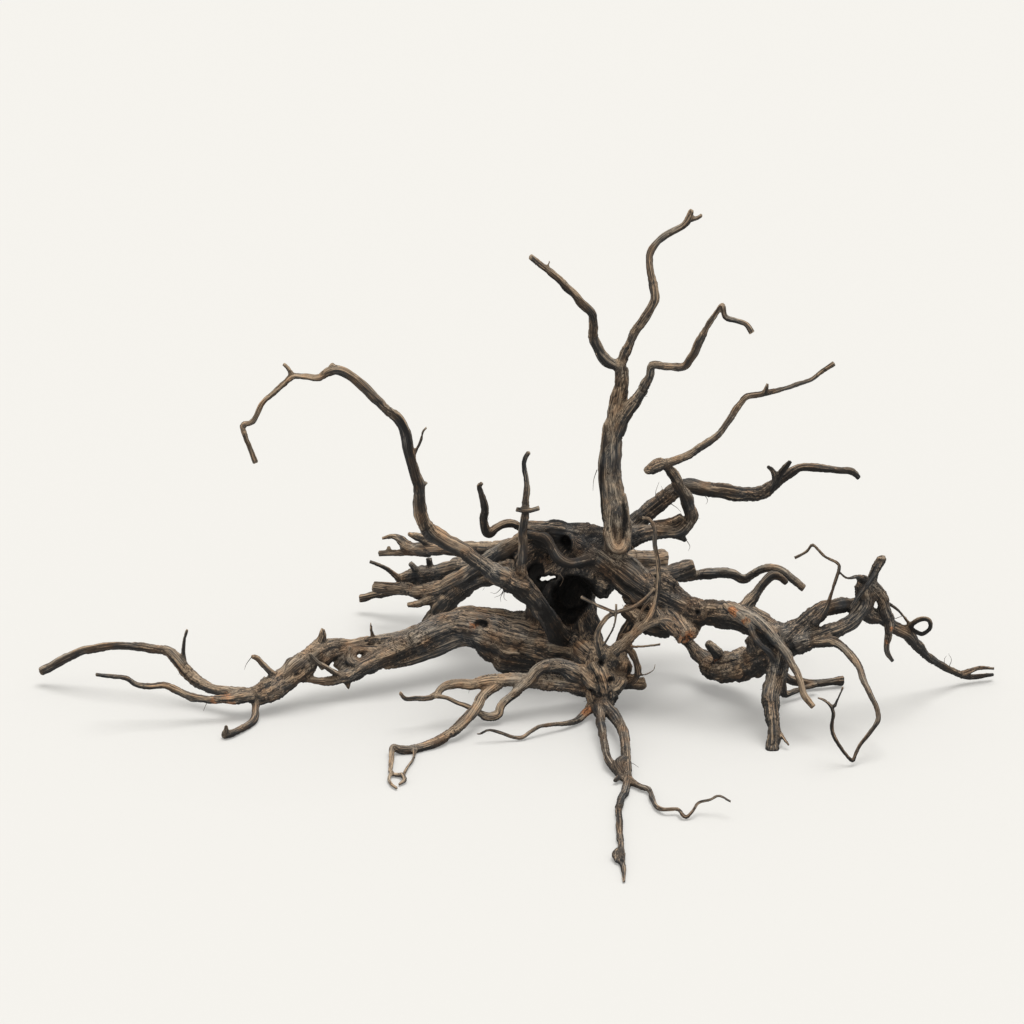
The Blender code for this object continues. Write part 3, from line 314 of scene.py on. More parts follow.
        (-17, -110, 12, 5.8), (-30, -112, 10, 5.5), (-44, -113, 18, 4.2), (-56, -114, 26, 3.5),
        (-69, -116, 32, 3), (-83, -118, 39, 3), (-94, -120, 42, 3.2)],
    "front_left_high": [(98, -58, 28, 15), (68, -63, 33, 11.5), (44, -70, 40, 10.5), (19, -77, 45, 9.5),
        (-5, -84, 48, 8.8), (-29, -90, 50, 8.2), (-51, -96, 48, 7), (-70, -102, 51, 6.2),
        (-86, -108, 48, 5.2), (-94, -114, 42, 4.7), (-105, -120, 40, 3.8), (-119, -124, 41, 3.2),
        (-132, -128, 42, 3), (-139, -130, 52, 2.5)],
    "front_left_low": [(-14, -86, 46, 7.5), (-35, -103, 36, 7.2), (-46, -124, 26, 7), (-60, -146, 17, 7),
        (-80, -165, 10, 6.8), (-98, -181, 6.5, 6.3), (-118, -192, 5, 6), (-134, -198, 5, 5.6),
        (-146, -198, 9, 4.8), (-147, -212, 5, 3.6), (-148, -240, 4, 3), (-145, -262, 3.5, 2.8),
        (-132, -266, 3.5, 3)],
    "front_left_stay": [(-119, -196, 5, 2.4), (-120, -218, 4, 2), (-127, -242, 3, 2),
        (-131, -260, 3, 2.4)],
    "front_left_claw": [(-146, -258, 4, 2.8), (-149, -276, 3, 2.4), (-145, -292, 3, 2.2),
        (-138, -302, 3, 2)],
    "front_left_nub": [(-134, -264, 4, 3.4), (-130, -280, 4, 3.2), (-137, -292, 3, 2)],
    "front_left_thin": [(106, -78, 14, 9), (91, -98, 8, 5.5), (79, -116, 6, 4.4), (65, -128, 8, 3.4),
        (49, -136, 11, 3), (34, -144, 12, 2.8), (22, -152, 8, 2.7), (11, -160, 4, 2.8), (-3, -161, 7, 2.6),
        (-15, -162, 12, 2.4), (-29, -163, 16, 2.1), (-38, -165, 12, 1.7), (-44, -166, 12, 1.4)],
    "front_leg": [(110, -84, 14, 11), (123, -120, 20, 8.6), (134, -160, 21, 7.2), (138, -203, 16, 6.2),
        (139, -241, 10, 5.9), (140, -276, 5, 5.6), (136, -314, 4.5, 5.3), (128, -350, 4, 4.8),
        (127, -394, 4, 4.4), (127, -441, 4, 4.2), (127, -487, 4, 4.8), (129, -518, 3, 3.2),
        (129, -548, 2, 2)],
    "front_leg_twin": [(108, -90, 16, 9), (109, -131, 20, 6.2), (111, -170, 17, 5.2), (114, -205, 13, 5),
        (117, -233, 10, 5), (125, -257, 7, 5.3), (136, -280, 5, 5)],
    "front_leg_knot": [(136, -240, 12, 6.5), (129, -256, 13, 6.5), (134, -272, 8, 6)],
    "front_leg_peg": [(136, -270, 8, 4), (124, -286, 5, 3)],
    "front_leg_barb": [(124, -470, 4, 4), (120, -486, 6, 4.5), (121, -500, 3, 1.8)],
    "front_right_thin": [(140, -280, 5, 5), (154, -301, 5, 3.8), (164, -310, 5, 3.6), (169, -337, 4, 3.3),
        (173, -356, 4, 3), (182, -368, 7, 2.7), (197, -368, 7, 2.7), (202, -380, 6, 2.5),
        (207, -382, 3, 2.5), (215, -375, 9, 2.3), (222, -364, 14, 2.1), (236, -366, 19, 2),
        (246, -364, 23, 1.9), (260, -376, 21, 1.6)],
}

# Details of the real wood that the solid does without: the swollen collar round the stem's base
# and the burl on the right arm.
ROOTS.update({
    "stem_collar": [(124, 6, 262, 3), (121, 0, 238, 5), (120, -4, 216, 6.4), (125, -8, 200, 7),
        (133, -9, 194, 7.4), (141, -7, 199, 6.8), (144, -2, 216, 6), (143, 3, 238, 5), (140, 9, 262, 3)],
    "boss_eye": [(222, -40, 127, 16), (231, -58, 131, 14.5)],
    "torn_cheek": [(186, -40, 128, 10), (200, -50, 119, 14), (211, -62, 110, 14.5), (219, -78, 103, 14)],
    "torn_side": [(206, -56, 120, 9), (220, -64, 111, 8), (230, -72, 105, 5.5)],
    "torn_fold": [(172, -48, 138, 5), (180, -60, 128, 6.5), (190, -68, 116, 6.5), (204, -74, 106, 5)],
    "flap_splinter": [(262, -82, 150, 2.4), (271, -90, 147, 4.4), (282, -96, 142, 4.6),
        (291, -99, 134, 2.6)],
    "flap_splinter_low": [(268, -88, 140, 2.2), (278, -96, 136, 3.2), (290, -100, 128, 2)],
    "hook_strand": [(10, -28, 166, 7), (24, -22, 144, 8), (39, -16, 118, 8), (51, -8, 94, 10),
        (60, 4, 74, 14), (72, 18, 58, 19), (86, 26, 50, 22)],
    "knuckle_face": [(106, -66, 62, 15), (115, -76, 44, 17), (118, -81, 28, 15), (114, -82, 15, 11)],
    "knuckle_brow": [(92, -70, 50, 10), (106, -78, 40, 12), (128, -80, 36, 12), (138, -72, 46, 9)],
    "hook_knot": [(-14, -24, 166, 9), (-2, -33, 157, 15), (10, -30, 150, 12), (18, -24, 140, 8)],
})
# Hollows: routes of the rot and the grooves that have been eaten out of the heavy wood.
HOLLOWS = {
    "stump_hollow": [(80, -60, 136, 20), (78, -14, 128, 29), (76, 22, 118, 28), (76, 46, 110, 19)],
    "stump_cleft": [(66, -50, 108, 12), (66, -8, 102, 19), (70, 22, 98, 17)],
    "stump_side": [(104, -50, 118, 9), (104, -10, 112, 13), (100, 20, 110, 14)],
    "crown_under": [(-6, -40, 143, 15), (14, 4, 138, 19), (36, 40, 131, 20)],
    "crown_window": [(44, -44, 166, 4.6), (45, 0, 149, 5.4), (46, 60, 125, 5.6), (48, 150, 88, 5.6)],
    "crown_window_left": [(36, -44, 165, 3.4), (37, 0, 148, 4), (38, 60, 124, 4.4), (39, 150, 87, 4)],
    "crown_window_right": [(52, -44, 168, 3), (53, 0, 151, 3.8), (54, 60, 127, 4.2), (56, 150, 90, 4)],
    "crown_eye": [(60, -26, 196, 6), (64, 2, 192, 8.5), (70, 34, 188, 8)],
    "crown_eye_low": [(58, -26, 186, 3), (64, 0, 184, 5), (74, 24, 182, 5)],
    "stem_groove_left": [(124, 0, 306, 1.6), (125, -4, 270, 2.8), (127, -7, 240, 3.4), (129, -9, 218, 3.2),
        (134, -11, 207, 2)],
    "stem_groove_right": [(135, 3, 284, 1.4), (139, 1, 254, 2.4), (141, -4, 228, 3), (138, -9, 210, 2.4)],
    "stem_crack": [(111, 8, 300, 1.4), (111, 5, 266, 2.0), (112, 3, 240, 2.0), (114, 0, 222, 1.4)],
    "arm_mouth": [(-52, -2, 94, 4), (-47, 14, 84, 6), (-38, 20, 80, 5), (-30, 22, 76, 3)],
    "arm_slot": [(-78, 12, 84, 2.4), (-58, 12, 84, 3), (-30, 0, 74, 3), (-8, -6, 66, 2)],
    "arm_seam": [(-20, 4, 80, 2), (6, -4, 76, 2.8), (30, -8, 70, 3), (52, -10, 62, 2)],
    "eye_pit": [(240, -84, 138, 4), (233, -71, 134, 3.4), (230, -62, 131, 2.6)],
    "arm_groove": [(-64, 6, 72, 2.2), (-96, 2, 66, 2.8), (-124, -8, 56, 2.4), (-150, -20, 46, 2)],
    "right_groove": [(120, -10, 164, 2.2), (142, -24, 150, 2.8), (166, -38, 140, 2.4)],
    "right_slot": [(150, -2, 178, 2), (176, -18, 164, 2.6), (198, -30, 158, 2)],
    "torn_throat": [(224, -92, 96, 13), (220, -81, 102, 11), (216, -74, 106, 6)],
    "knuckle_pit": [(126, -98, 50, 4), (122, -84, 50, 3.6)],
    "knuckle_pit_high": [(110, -90, 72, 3.4), (112, -74, 68, 3)],
    "knuckle_pit_left": [(98, -98, 35, 3.6), (100, -82, 35, 3)],
    "knuckle_pit_low": [(133, -98, 20, 4), (130, -84, 22, 3)],
    "knuckle_cleft": [(104, -92, 56, 2), (110, -84, 46, 3), (114, -86, 34, 3), (118, -90, 22, 2)],
}
# The roots that the hollows are cut from.
HOLLOW_WOOD = ("stump", "stump_shoulder", "crown_heart", "crown_back", "crown_ridge", "crown_knob",
               "right_arm", "right_boss", "boss_eye", "stem", "stem_rib", "stem_collar", "arm",
               "arm_back", "arm_underside", "knuckle", "knuckle_neck", "knuckle_face", "knuckle_brow",
               "knuckle_cheek", "torn_stub", "torn_lip", "torn_cheek", "torn_side", "crown_lobe")
# The tubes' ring distance and corners, the cells that they are grown together with, and the
# thinnest rootlet's radius, in millimetres; then the triangles of the finished skin.
ring_step = 2.2
ring_corners = 18
skin_cell = 1.5
stump_cell = 1.9
thinnest = 1.15
triangles_kept = 194000


def route_points(stations, step=ring_step):
    """Places and radii along a smooth curve through the stations, a step apart."""
    s = np.array(stations, float)
    s[:, 3] = np.maximum(s[:, 3], thinnest)
    p = np.vstack([2 * s[0] - s[1], s, 2 * s[-1] - s[-2]])
    out = []
    for a, b, c, d in zip(p, p[1:], p[2:], p[3:]):
        n = max(2, int(np.linalg.norm((c - b)[:3]) / step))
        t = np.linspace(0, 1, n, endpoint=False)[:, None]
        place = 0.5 * (2 * b + (c - a) * t + (2 * a - 5 * b + 4 * c - d) * t ** 2
                       + (3 * b - a - 3 * c + d) * t ** 3)
        ease = t * t * (3 - 2 * t)
        place[:, 3] = (b[3] + (c[3] - b[3]) * ease)[:, 0]
        out.append(place)
    out.append(s[-1:])
    route = np.vstack(out)
    return route[:, :3], route[:, 3]


def route_frames(places):
    """Along, across and up directions at each place, carried along the route without twist."""
    along = np.gradient(places, axis=0)
    along /= np.linalg.norm(along, axis=1)[:, None] + 1e-12
    across = np.zeros_like(along)
    start = np.cross(along[0], (0.0, 0.3, 1.0))
    across[0] = start / (np.linalg.norm(start) + 1e-12)
    for i in range(1, len(places)):
        a = across[i - 1] - along[i] * np.dot(across[i - 1], along[i])
        across[i] = a / (np.linalg.norm(a) + 1e-12)
    return along, across, np.cross(along, across)


def lattice(p, seed):
    """Smooth random values in -1 to 1 over space, one unit between their knots."""
    base = np.floor(p).astype(np.int64)
    f = p - base
    f = f * f * f * (f * (f * 6 - 15) + 10)
    total = np.zeros(len(p))
    for corner in range(8):
        o = np.array([corner & 1, corner >> 1 & 1, corner >> 2 & 1])
        q = base + o
        h = (q[:, 0] * 73856093) ^ (q[:, 1] * 19349663) ^ (q[:, 2] * 83492791) ^ (seed * 2654435761)
        h = (h ^ (h >> 13)) * 1274126177 & 0xFFFFFFFF
        h = (h ^ (h >> 16)) & 0xFFFFFF
        w = np.prod(np.where(o, f, 1 - f), axis=1)
        total += w * (h / 0x7FFFFF - 1.0)
    return total


def octaves(p, seed, count, rough=0.5):
    """Several sizes of lattice added together."""
    total = np.zeros(len(p))
    share, size = 1.0, 1.0
    for i in range(count):
        total += share * lattice(p * size, seed + 17 * i)
        share *= rough
        size *= 2.03
    return total


def sweep(stations, seed, lumpy=0.13):
    """One root's closed tube, as vertices and faces, a little bent and lumpy along its route."""
    places, radii = route_points(stations)
    ends = np.minimum(np.arange(len(places)), np.arange(len(places))[::-1]) / 4
    bent = np.clip(ends, 0, 1) * np.minimum(radii, 9) * 0.20
    for axis in range(3):
        places[:, axis] += bent * lattice(places / 15 + 7.1 * axis, seed + axis)
    radii = radii * (0.97 + 0.09 * lattice(places / 11, seed + 5))
    along, across, up = route_frames(places)
    turn = np.linspace(0, 2 * np.pi, ring_corners, endpoint=False)
    gone = np.concatenate([[0], np.cumsum(np.linalg.norm(np.diff(places, axis=0), axis=1))])
    c, s = np.cos(turn), np.sin(turn)
    n = len(places)
    ring = np.repeat(np.arange(n), ring_corners)
    around = np.stack([np.tile(c, n), np.tile(s, n), gone[ring] / (2.2 * radii[ring] + 8)], axis=1)
    swell = 1 + lumpy * lattice(around * (1.1, 1.1, 1.3) + seed * 3.7, seed)
    r = radii[ring] * swell
    verts = places[ring] + r[:, None] * (np.tile(c, n)[:, None] * across[ring]
                                         + np.tile(s, n)[:, None] * up[ring])
    faces = []
    for i in range(n - 1):
        a, b = i * ring_corners, (i + 1) * ring_corners
        for k in range(ring_corners):
            j = (k + 1) % ring_corners
            faces.append((a + k, a + j, b + j, b + k))
    faces.append(tuple(reversed(range(ring_corners))))
    faces.append(tuple(range((n - 1) * ring_corners, n * ring_corners)))
    return verts, faces


def tubes(table, names, name):
    """One object of the tubes of the named routes, overlapping where they branch."""
    verts, faces, base = [], [], 0
    for route_name in names:
        seed = sum(map(ord, route_name))
        v, f = sweep(table[route_name], seed)
        verts.append(v)
        faces += [tuple(base + i for i in face) for face in f]
        base += len(v)
    co = np.vstack(verts)
    co[:, 0] -= middle[0]
    co[:, 1] -= middle[1]
    mesh = bpy.data.meshes.new(name)
    mesh.from_pydata((co * mm).tolist(), [], faces)
    piece = bpy.data.objects.new(name, mesh)
    bpy.context.scene.collection.objects.link(piece)
    return piece


def apply(piece, kind, **settings):
    """Adds one modifier to a piece and applies it."""
    bpy.ops.object.select_all(action="DESELECT")
    bpy.context.view_layer.objects.active = piece
    piece.select_set(True)
    modifier = piece.modifiers.new(kind.lower(), kind)
    for key, value in settings.items():
        setattr(modifier, key, value)
    bpy.ops.object.modifier_apply(modifier=modifier.name)


heavy = tubes(ROOTS, HOLLOW_WOOD, "heavy_wood")
apply(heavy, "REMESH", mode="VOXEL", voxel_size=stump_cell * mm)
rot = tubes(HOLLOWS, HOLLOWS, "rot")
apply(rot, "REMESH", mode="VOXEL", voxel_size=stump_cell * mm)
apply(heavy, "BOOLEAN", operation="DIFFERENCE", object=rot, solver="EXACT")
bpy.data.objects.remove(rot)
others = [n for n in ROOTS if n not in HOLLOW_WOOD]
root = tubes(ROOTS, others, "weathered_dry_root")
bpy.ops.object.select_all(action="DESELECT")
heavy.select_set(True)
root.select_set(True)
bpy.context.view_layer.objects.active = root
bpy.ops.object.join()
apply(root, "REMESH", mode="VOXEL", voxel_size=skin_cell * mm)
apply(root, "SMOOTH", factor=0.5, iterations=3)


# The grain: where each point of the skin lies along and around the root that it belongs to.
route_names = list(ROOTS)
rows = []
for number, route_name in enumerate(route_names):
    places, radii = route_points(ROOTS[route_name], 3.2)
    if len(places) > 8:
        stride = max(1, int(radii.mean() / 6.5))
        picked = np.unique(np.append(np.arange(0, len(places), stride), len(places) - 1))
        places, radii = places[picked], radii[picked]
    along, across, up = route_frames(places)
    gone = np.concatenate([[0], np.cumsum(np.linalg.norm(np.diff(places, axis=0), axis=1))])
    rows.append(np.column_stack([places, radii, along, across, up, gone, gone[-1] - gone,
                                 np.full(len(places), number)]))
samples = np.vstack(rows)
samples[:, 0] -= middle[0]
samples[:, 1] -= middle[1]
sample_root = samples[:, -1].astype(int)
first_of_root = np.searchsorted(sample_root, np.arange(len(route_names)))


def grain_of(points):
    """For points in millimetres: the place in the grain (across, up, along), the root's radius,
    the way left to its tip, its number, and how much farther off the next root's skin is."""
    centres = samples[:, :3].astype(np.float32)
    squares = (centres ** 2).sum(1)
    radii = samples[:, 3].astype(np.float32)
    best = np.zeros(len(points), int)
    rival = np.zeros(len(points))
    for at in range(0, len(points), 4000):
        p = points[at:at + 4000].astype(np.float32)
        d = (p ** 2).sum(1)[:, None] + squares - 2 * p @ centres.T
        np.maximum(d, 0, out=d)
        np.sqrt(d, out=d)
        d -= radii
        nearest = d.argmin(1)
        line = np.arange(len(p))
        least = d[line, nearest]
        per_root = np.minimum.reduceat(d, first_of_root, axis=1)
        per_root[line, sample_root[nearest]] = 1e9
        best[at:at + 4000] = nearest
        rival[at:at + 4000] = per_root.min(1) - least
    here = samples[best]
    ahead = ((points - here[:, :3]) * here[:, 4:7]).sum(1)
    side = best + np.where(ahead > 0, 1, -1)
    side = np.clip(side, 0, len(samples) - 1)
    side = np.where(sample_root[side] == sample_root[best], side, best)
    there = samples[side]
    gap = np.abs(there[:, 13] - here[:, 13])
    share = np.where(gap > 0, np.clip(np.abs(ahead) / np.maximum(gap, 1e-6), 0, 1), 0)[:, None]
    s = here * (1 - share) + there * share
    off = points - s[:, :3]
    rest = (off * s[:, 4:7]).sum(1)
    x = (off * s[:, 7:10]).sum(1)
    y = (off * s[:, 10:13]).sum(1)
    size = np.sqrt(x * x + y * y) + 1e-9
    fit = s[:, 3] / np.maximum(size, s[:, 3])
    shift = here[:, -1] * 31.7
    place = np.column_stack([x * fit + shift, y * fit, s[:, 13] + rest])
    return place, s[:, 3], s[:, 14] - rest, sample_root[best], rival


def vertex_array(mesh, kind="co"):
    """The places of a mesh's vertices, or their normals, one to a row."""
    values = np.empty(len(mesh.vertices) * 3, np.float32)
    mesh.vertices.foreach_get(kind, values)
    return values.reshape(-1, 3).astype(float)


def relief(points):
    """How far the skin is raised at each point, how deep in a furrow it is, and its place in the
    grain: where, how thick the root is there, how far from its tip, and which root."""
    place, radius, tip, number, rival = grain_of(points)
    thick = np.clip(radius / 14, 0.10, 1.2)
    knotty = knottiness[number]
    # Broad flutes, furrows and fibres, each stretched along the grain, and round lumps.
    wander = 0.35 * lattice(points / 34, 5)[:, None]
    wide = np.column_stack([place[:, :2] / (1.6 + 0.52 * radius)[:, None], place[:, 2] / 120])
    broad = octaves(wide + wander, 11, 2)
    cuts = np.column_stack([place[:, :2] / (1.7 + 0.2 * radius)[:, None], place[:, 2] / 95])
    furrow = np.clip(1 - np.abs(octaves(cuts + wander, 23, 2)) * 4.2, 0, 1) ** 1.5
    furrow *= np.clip(0.30 + 1.5 * lattice(points / 38, 31), 0, 1)
    fine = np.column_stack([place[:, :2] / 1.7, place[:, 2] / 42])
    fibre = octaves(fine, 41, 2)
    lump = octaves(points / 15, 61, 3)
    near = np.clip(rival / 3.0, 0, 1)
    height = thick * (0.95 * broad + (0.35 + 2.1 * knotty) * lump) - 1.3 * thick * furrow * near
    height += 0.28 * np.clip(radius / 8, 0.25, 1) * fibre
    return height, furrow * near, place, radius, tip, number


# How pale each root is, from charcoal 0 to bleached 1, and how knotty, from 0 to 1. The front leg's low
# paleness is partly its darker wood and partly painted shade.
FINISH_OF_ROOTS = {
    "stump": (0.16, 0.6), "crown": (0.30, 0.5), "stem": (0.59, 0.12), "stem_side": (0.54, 0.1),
    "hook": (0.54, 0.15), "hook_strand": (0.26, 0.3), "hook_knot": (0.22, 0.7), "stick": (0.46, 0.1),
    "crown_twig": (0.32, 0.15), "back": (0.46, 0.25), "back_flat": (0.32, 0.4),
    "back_sawn": (0.52, 0.1), "arm": (0.45, 0.25), "runner": (0.48, 0.15), "left_foot": (0.40, 0.2),
    "sawn_log": (0.50, 0.2), "right_back": (0.44, 0.15), "black_arm": (0.22, 0.2),
    "elbow": (0.26, 0.2), "elbow_knob": (0.60, 0.6), "wand": (0.41, 0.1), "right": (0.33, 0.35),
    "boss": (0.30, 0.3), "inner": (0.20, 0.4), "bridge_block": (0.20, 0.4), "torn": (0.46, 0.5),
    "swing": (0.44, 0.1), "pale_branch": (0.66, 0.1), "hub": (0.30, 0.3), "keel": (0.42, 0.8),
    "whip": (0.42, 0.1), "knuckle": (0.46, 1.0), "long_rootlet": (0.64, 0.1),
    "bridge_rootlet": (0.62, 0.1), "arc": (0.60, 0.1), "inner_rootlet": (0.46, 0.1),
    "side_thread": (0.4, 0.1), "front": (0.66, 0.25), "front_leg": (0.18, 0.2), "flap": (0.8, 0.4),
    "front_left_low": (0.54, 0.15), "front_right": (0.46, 0.1), "front_left_thin": (0.42, 0.1),
}
# Places painted darker as shade, in and around the hollows, grooves and recesses: x, y, z and reach in
# millimetres, and how much darker.
SHADE_SPOTS = [(40, -4, 110, 55, 0.25), (60, 20, 205, 60, 0.22), (100, 20, 190, 50, 0.18),
          (215, -50, 140, 42, 0.22), (-70, 0, 95, 45, 0.16), (-10, 0, 60, 50, 0.14),
          (330, -85, 100, 40, 0.14), (120, 10, 300, 40, 0.10)]


def finish_of(route_name):
    """The paleness and knottiness whose name fits the root's name best."""
    fits = [key for key in FINISH_OF_ROOTS if route_name.startswith(key)]
    return FINISH_OF_ROOTS[max(fits, key=len)]


finishes = np.array([finish_of(n) for n in route_names])
knottiness = finishes[:, 1]
skin = vertex_array(root.data)
height = relief(skin / mm)[0]
skin = skin + vertex_array(root.data, "normal") * (height * mm)[:, None]
skin[:, 2] = np.maximum(skin[:, 2], 0.0)
root.data.vertices.foreach_set("co", skin.astype(np.float32).ravel())
root.data.update()
triangles = sum(len(p.vertices) - 2 for p in root.data.polygons)
apply(root, "DECIMATE", ratio=min(1.0, triangles_kept / triangles), use_collapse_triangulate=True)

# Torn and scarred places: x, y, z and reach in millimetres, and how orange the fresh wood is.
SCARS = [(220, -82, 102, 15, 0.95), (273, -92, 146, 10, 0.62), (288, -99, 135, 7, 0.70),
         (474, -68, 110, 6, 0.55), (467, -70, 92, 5, 0.5), (418, -100, 141, 4, 0.5),
         (-356, -92, 26, 16, 0.45), (-372, -98, 27, 8, 0.5), (92, -100, 12, 13, 0.55),
         (-46, 14, 82, 15, 0.60), (-30, 2, 80, 9, 0.35), (-181, 195, 56, 9, 0.5),
         (-106, -44, 232, 5, 0.4), (140, 6, 262, 6, 0.3), (-20, -16, 46, 12, 0.3),
         (12, -20, 36, 10, 0.35), (258, -20, 46, 9, 0.3), (60, -20, 58, 12, 0.3)]
points = vertex_array(root.data) / mm
height, furrow, place, radius, tip, number = relief(points)


def away_from(x, y, z, reach):
    """How far each point is from a place, as a share of its reach."""
    return np.sqrt(((points + (*middle, 0) - (x, y, z)) ** 2).sum(1)) / reach


torn = np.zeros(len(points))
ragged = 0.35 * octaves(points / 4.5, 71, 2)
for x, y, z, reach, orange in SCARS:
    torn = np.maximum(torn, orange * np.clip(1.6 - 1.5 * (away_from(x, y, z, reach) + ragged), 0, 1))
# Painted shade round those places.
painted_shade = np.zeros(len(points))
for x, y, z, reach, darker in SHADE_SPOTS:
    painted_shade = np.maximum(painted_shade, darker * np.clip(1.5 - 1.5 * away_from(x, y, z, reach), 0, 1))
# How far each point lies inside a hollow; below, the hollows' skin is painted near black with it, as
# painted shade.
within = np.zeros(len(points))
hollow_skin = np.isin(number, [route_names.index(n) for n in HOLLOW_WOOD])
for hollow_name, hollow in HOLLOWS.items():
    if hollow_name == "torn_throat":
        continue
    places, radii = route_points(hollow, 4)
    for p, r in zip(places - (*middle, 0), radii):
        depth = np.sqrt(((points - p) ** 2).sum(1)) - r
        within = np.maximum(within, np.clip(1 - (depth - 0.6) / (1.2 + 0.05 * r), 0, 1))
normals = vertex_array(root.data, "normal")


def keep(name, values):
    """Stores one number per vertex."""
    layer = root.data.attributes.new(name, "FLOAT", "POINT")
    layer.data.foreach_set("value", np.asarray(values, np.float32))


grain_layer = root.data.attributes.new("grain", "FLOAT_VECTOR", "POINT")
grain_layer.data.foreach_set("vector", (place * mm).astype(np.float32).ravel())
keep("furrow", furrow)
# The tone is each root's paleness less the painted shade.
keep("tone", finishes[number, 0] - painted_shade)
keep("tip", np.clip(1 - tip / 2.2, 0, 1))
keep("torn", torn)
keep("hollow", within * hollow_skin)
# How much the skin faces down; it paints shade on the undersides below.
keep("under", np.clip(0.5 - normals[:, 2], 0, 1.5) / 1.5)


class Link:
    """A node socket that can be reckoned with."""

    def __init__(self, tree, socket):
        self.tree = tree
        self.socket = socket

    def maths(self, operation, *values):
        n = self.tree.nodes.new("ShaderNodeMath")
        n.operation = operation
        for place_in, value in zip(n.inputs, values):
            join(self.tree, place_in, value)
        return Link(self.tree, n.outputs[0])

    def __add__(self, other):
        return self.maths("ADD", self, other)

    def __radd__(self, other):
        return self.maths("ADD", other, self)

    def __sub__(self, other):
        return self.maths("SUBTRACT", self, other)

    def __rsub__(self, other):
        return self.maths("SUBTRACT", other, self)

    def __mul__(self, other):
        return self.maths("MULTIPLY", self, other)

    def __rmul__(self, other):
        return self.maths("MULTIPLY", other, self)


def join(tree, socket, value):
    """Puts a link or a plain value into a socket."""
    if isinstance(value, Link):
        tree.links.new(value.socket, socket)
    else:
        socket.default_value = value


def add_node(tree, kind, settings=None, out=0, **sockets):
    """A node of the given type: its settings first, then its sockets' values or links. A socket
    goes by its name, or by i and its place among the inputs."""
    n = tree.nodes.new(kind)
    for key, value in (settings or {}).items():
        setattr(n, key, value)
    for key, value in sockets.items():
        name_or_number = int(key[1:]) if key[0] == "i" and key[1:].isdigit() else key.replace("_", " ")
        join(tree, n.inputs[name_or_number], value)
    return Link(tree, n.outputs[out])


def smooth(tree, value, low, high):
    """0 below low, 1 above high, and an eased rise between them."""
    return add_node(tree, "ShaderNodeMapRange", {"interpolation_type": "SMOOTHSTEP"}, 0,
                    Value=value, From_Min=low, From_Max=high)


def blend(tree, share, one, two):
    """Colour one, turning into colour two as share goes from 0 to 1."""
    return add_node(tree, "ShaderNodeMix", {"data_type": "RGBA"}, 2, i0=share, i6=one, i7=two)


def noise(tree, vector, scale, detail, rough=0.55, **more):
    return add_node(tree, "ShaderNodeTexNoise", None, 0, Vector=vector, Scale=scale,
                    Detail=detail, Roughness=rough, **more)


wood = bpy.data.materials.new("weathered_root_wood")
wood.use_nodes = True
tree = wood.node_tree
shader = tree.nodes["Principled BSDF"]


def kept(name):
    return add_node(tree, "ShaderNodeAttribute", {"attribute_name": name}, 2)


grain = add_node(tree, "ShaderNodeAttribute", {"attribute_name": "grain"}, 1)
space = add_node(tree, "ShaderNodeTexCoord", None, 3)
fibres = add_node(tree, "ShaderNodeMapping", None, 0, Vector=grain, Scale=(1, 1, 0.022))
strands = add_node(tree, "ShaderNodeMapping", None, 0, Vector=grain, Scale=(1, 1, 0.05))
hairs = noise(tree, fibres, 1500.0, 2.0, 0.6)
fine = noise(tree, fibres, 820.0, 3.0, 0.6)
mid = noise(tree, fibres, 330.0, 4.0, 0.62)
wide = noise(tree, strands, 120.0, 3.0, 0.5)
patches = noise(tree, space, 24.0, 4.0, 0.6)
washed = noise(tree, space, 15.0, 3.0, 0.6)
specks = noise(tree, space, 420.0, 2.0, 0.6)

# The wood's colours, from the near-black painted shade in the hollows to the rust of freshly torn places.
hollow_shade_black = (0.0028, 0.0026, 0.0025, 1)
charcoal = (0.0125, 0.0115, 0.0110, 1)
slate = (0.062, 0.061, 0.060, 1)
umber = (0.078, 0.052, 0.034, 1)
greybrown = (0.185, 0.143, 0.104, 1)
tan = (0.60, 0.44, 0.29, 1)
rust = (0.60, 0.26, 0.11, 1)
rust_dark = (0.09, 0.035, 0.016, 1)
tone_at = kept("tone")
under = kept("under")
# Undersides are painted darker and kept free of pale streaks, so the tops read lighter: painted shade.
level = mid * 0.80 + wide * 0.80 + patches * 0.45 + tone_at * 0.42 - under * 0.40 - 0.60
body = blend(tree, smooth(tree, patches, 0.42, 0.60), slate, umber)
body = blend(tree, smooth(tree, level, 0.24, 0.60), charcoal, body)
body = blend(tree, smooth(tree, level, 0.48, 0.88), body, greybrown)
streak = hairs * 0.30 + fine * 0.70 + mid * 0.45 + wide * 0.35 + tone_at * 0.22 - under * 0.30
ridge = smooth(tree, streak, 0.90, 1.20) * 0.9
body = blend(tree, ridge, body, tan)
warmth = smooth(tree, noise(tree, space, 46.0, 3.0, 0.6), 0.45, 0.70) * 0.50
body = blend(tree, warmth, body, add_node(tree, "ShaderNodeVectorMath", {"operation": "MULTIPLY"}, 0,
                                          i0=body, i1=(1.28, 0.96, 0.72)))
ashen = smooth(tree, washed + wide * 0.25, 0.60, 0.76) * 0.85
body = blend(tree, ashen, body, add_node(tree, "ShaderNodeVectorMath", {"operation": "MULTIPLY"}, 0,
                                         i0=body, i1=(0.80, 0.93, 1.10)))
fresh = kept("torn")
split = blend(tree, smooth(tree, fine * 0.5 + specks * 0.5, 0.42, 0.58), rust_dark, rust)
body = blend(tree, smooth(tree, fresh + specks * 0.3, 0.35, 0.75), body, split)
tip_at = kept("tip")
end_wood = blend(tree, smooth(tree, specks * 0.5 + fine * 0.5, 0.35, 0.65), greybrown, tan)
body = blend(tree, tip_at * smooth(tree, tone_at, 0.35, 0.6) * 0.85, body, end_wood)
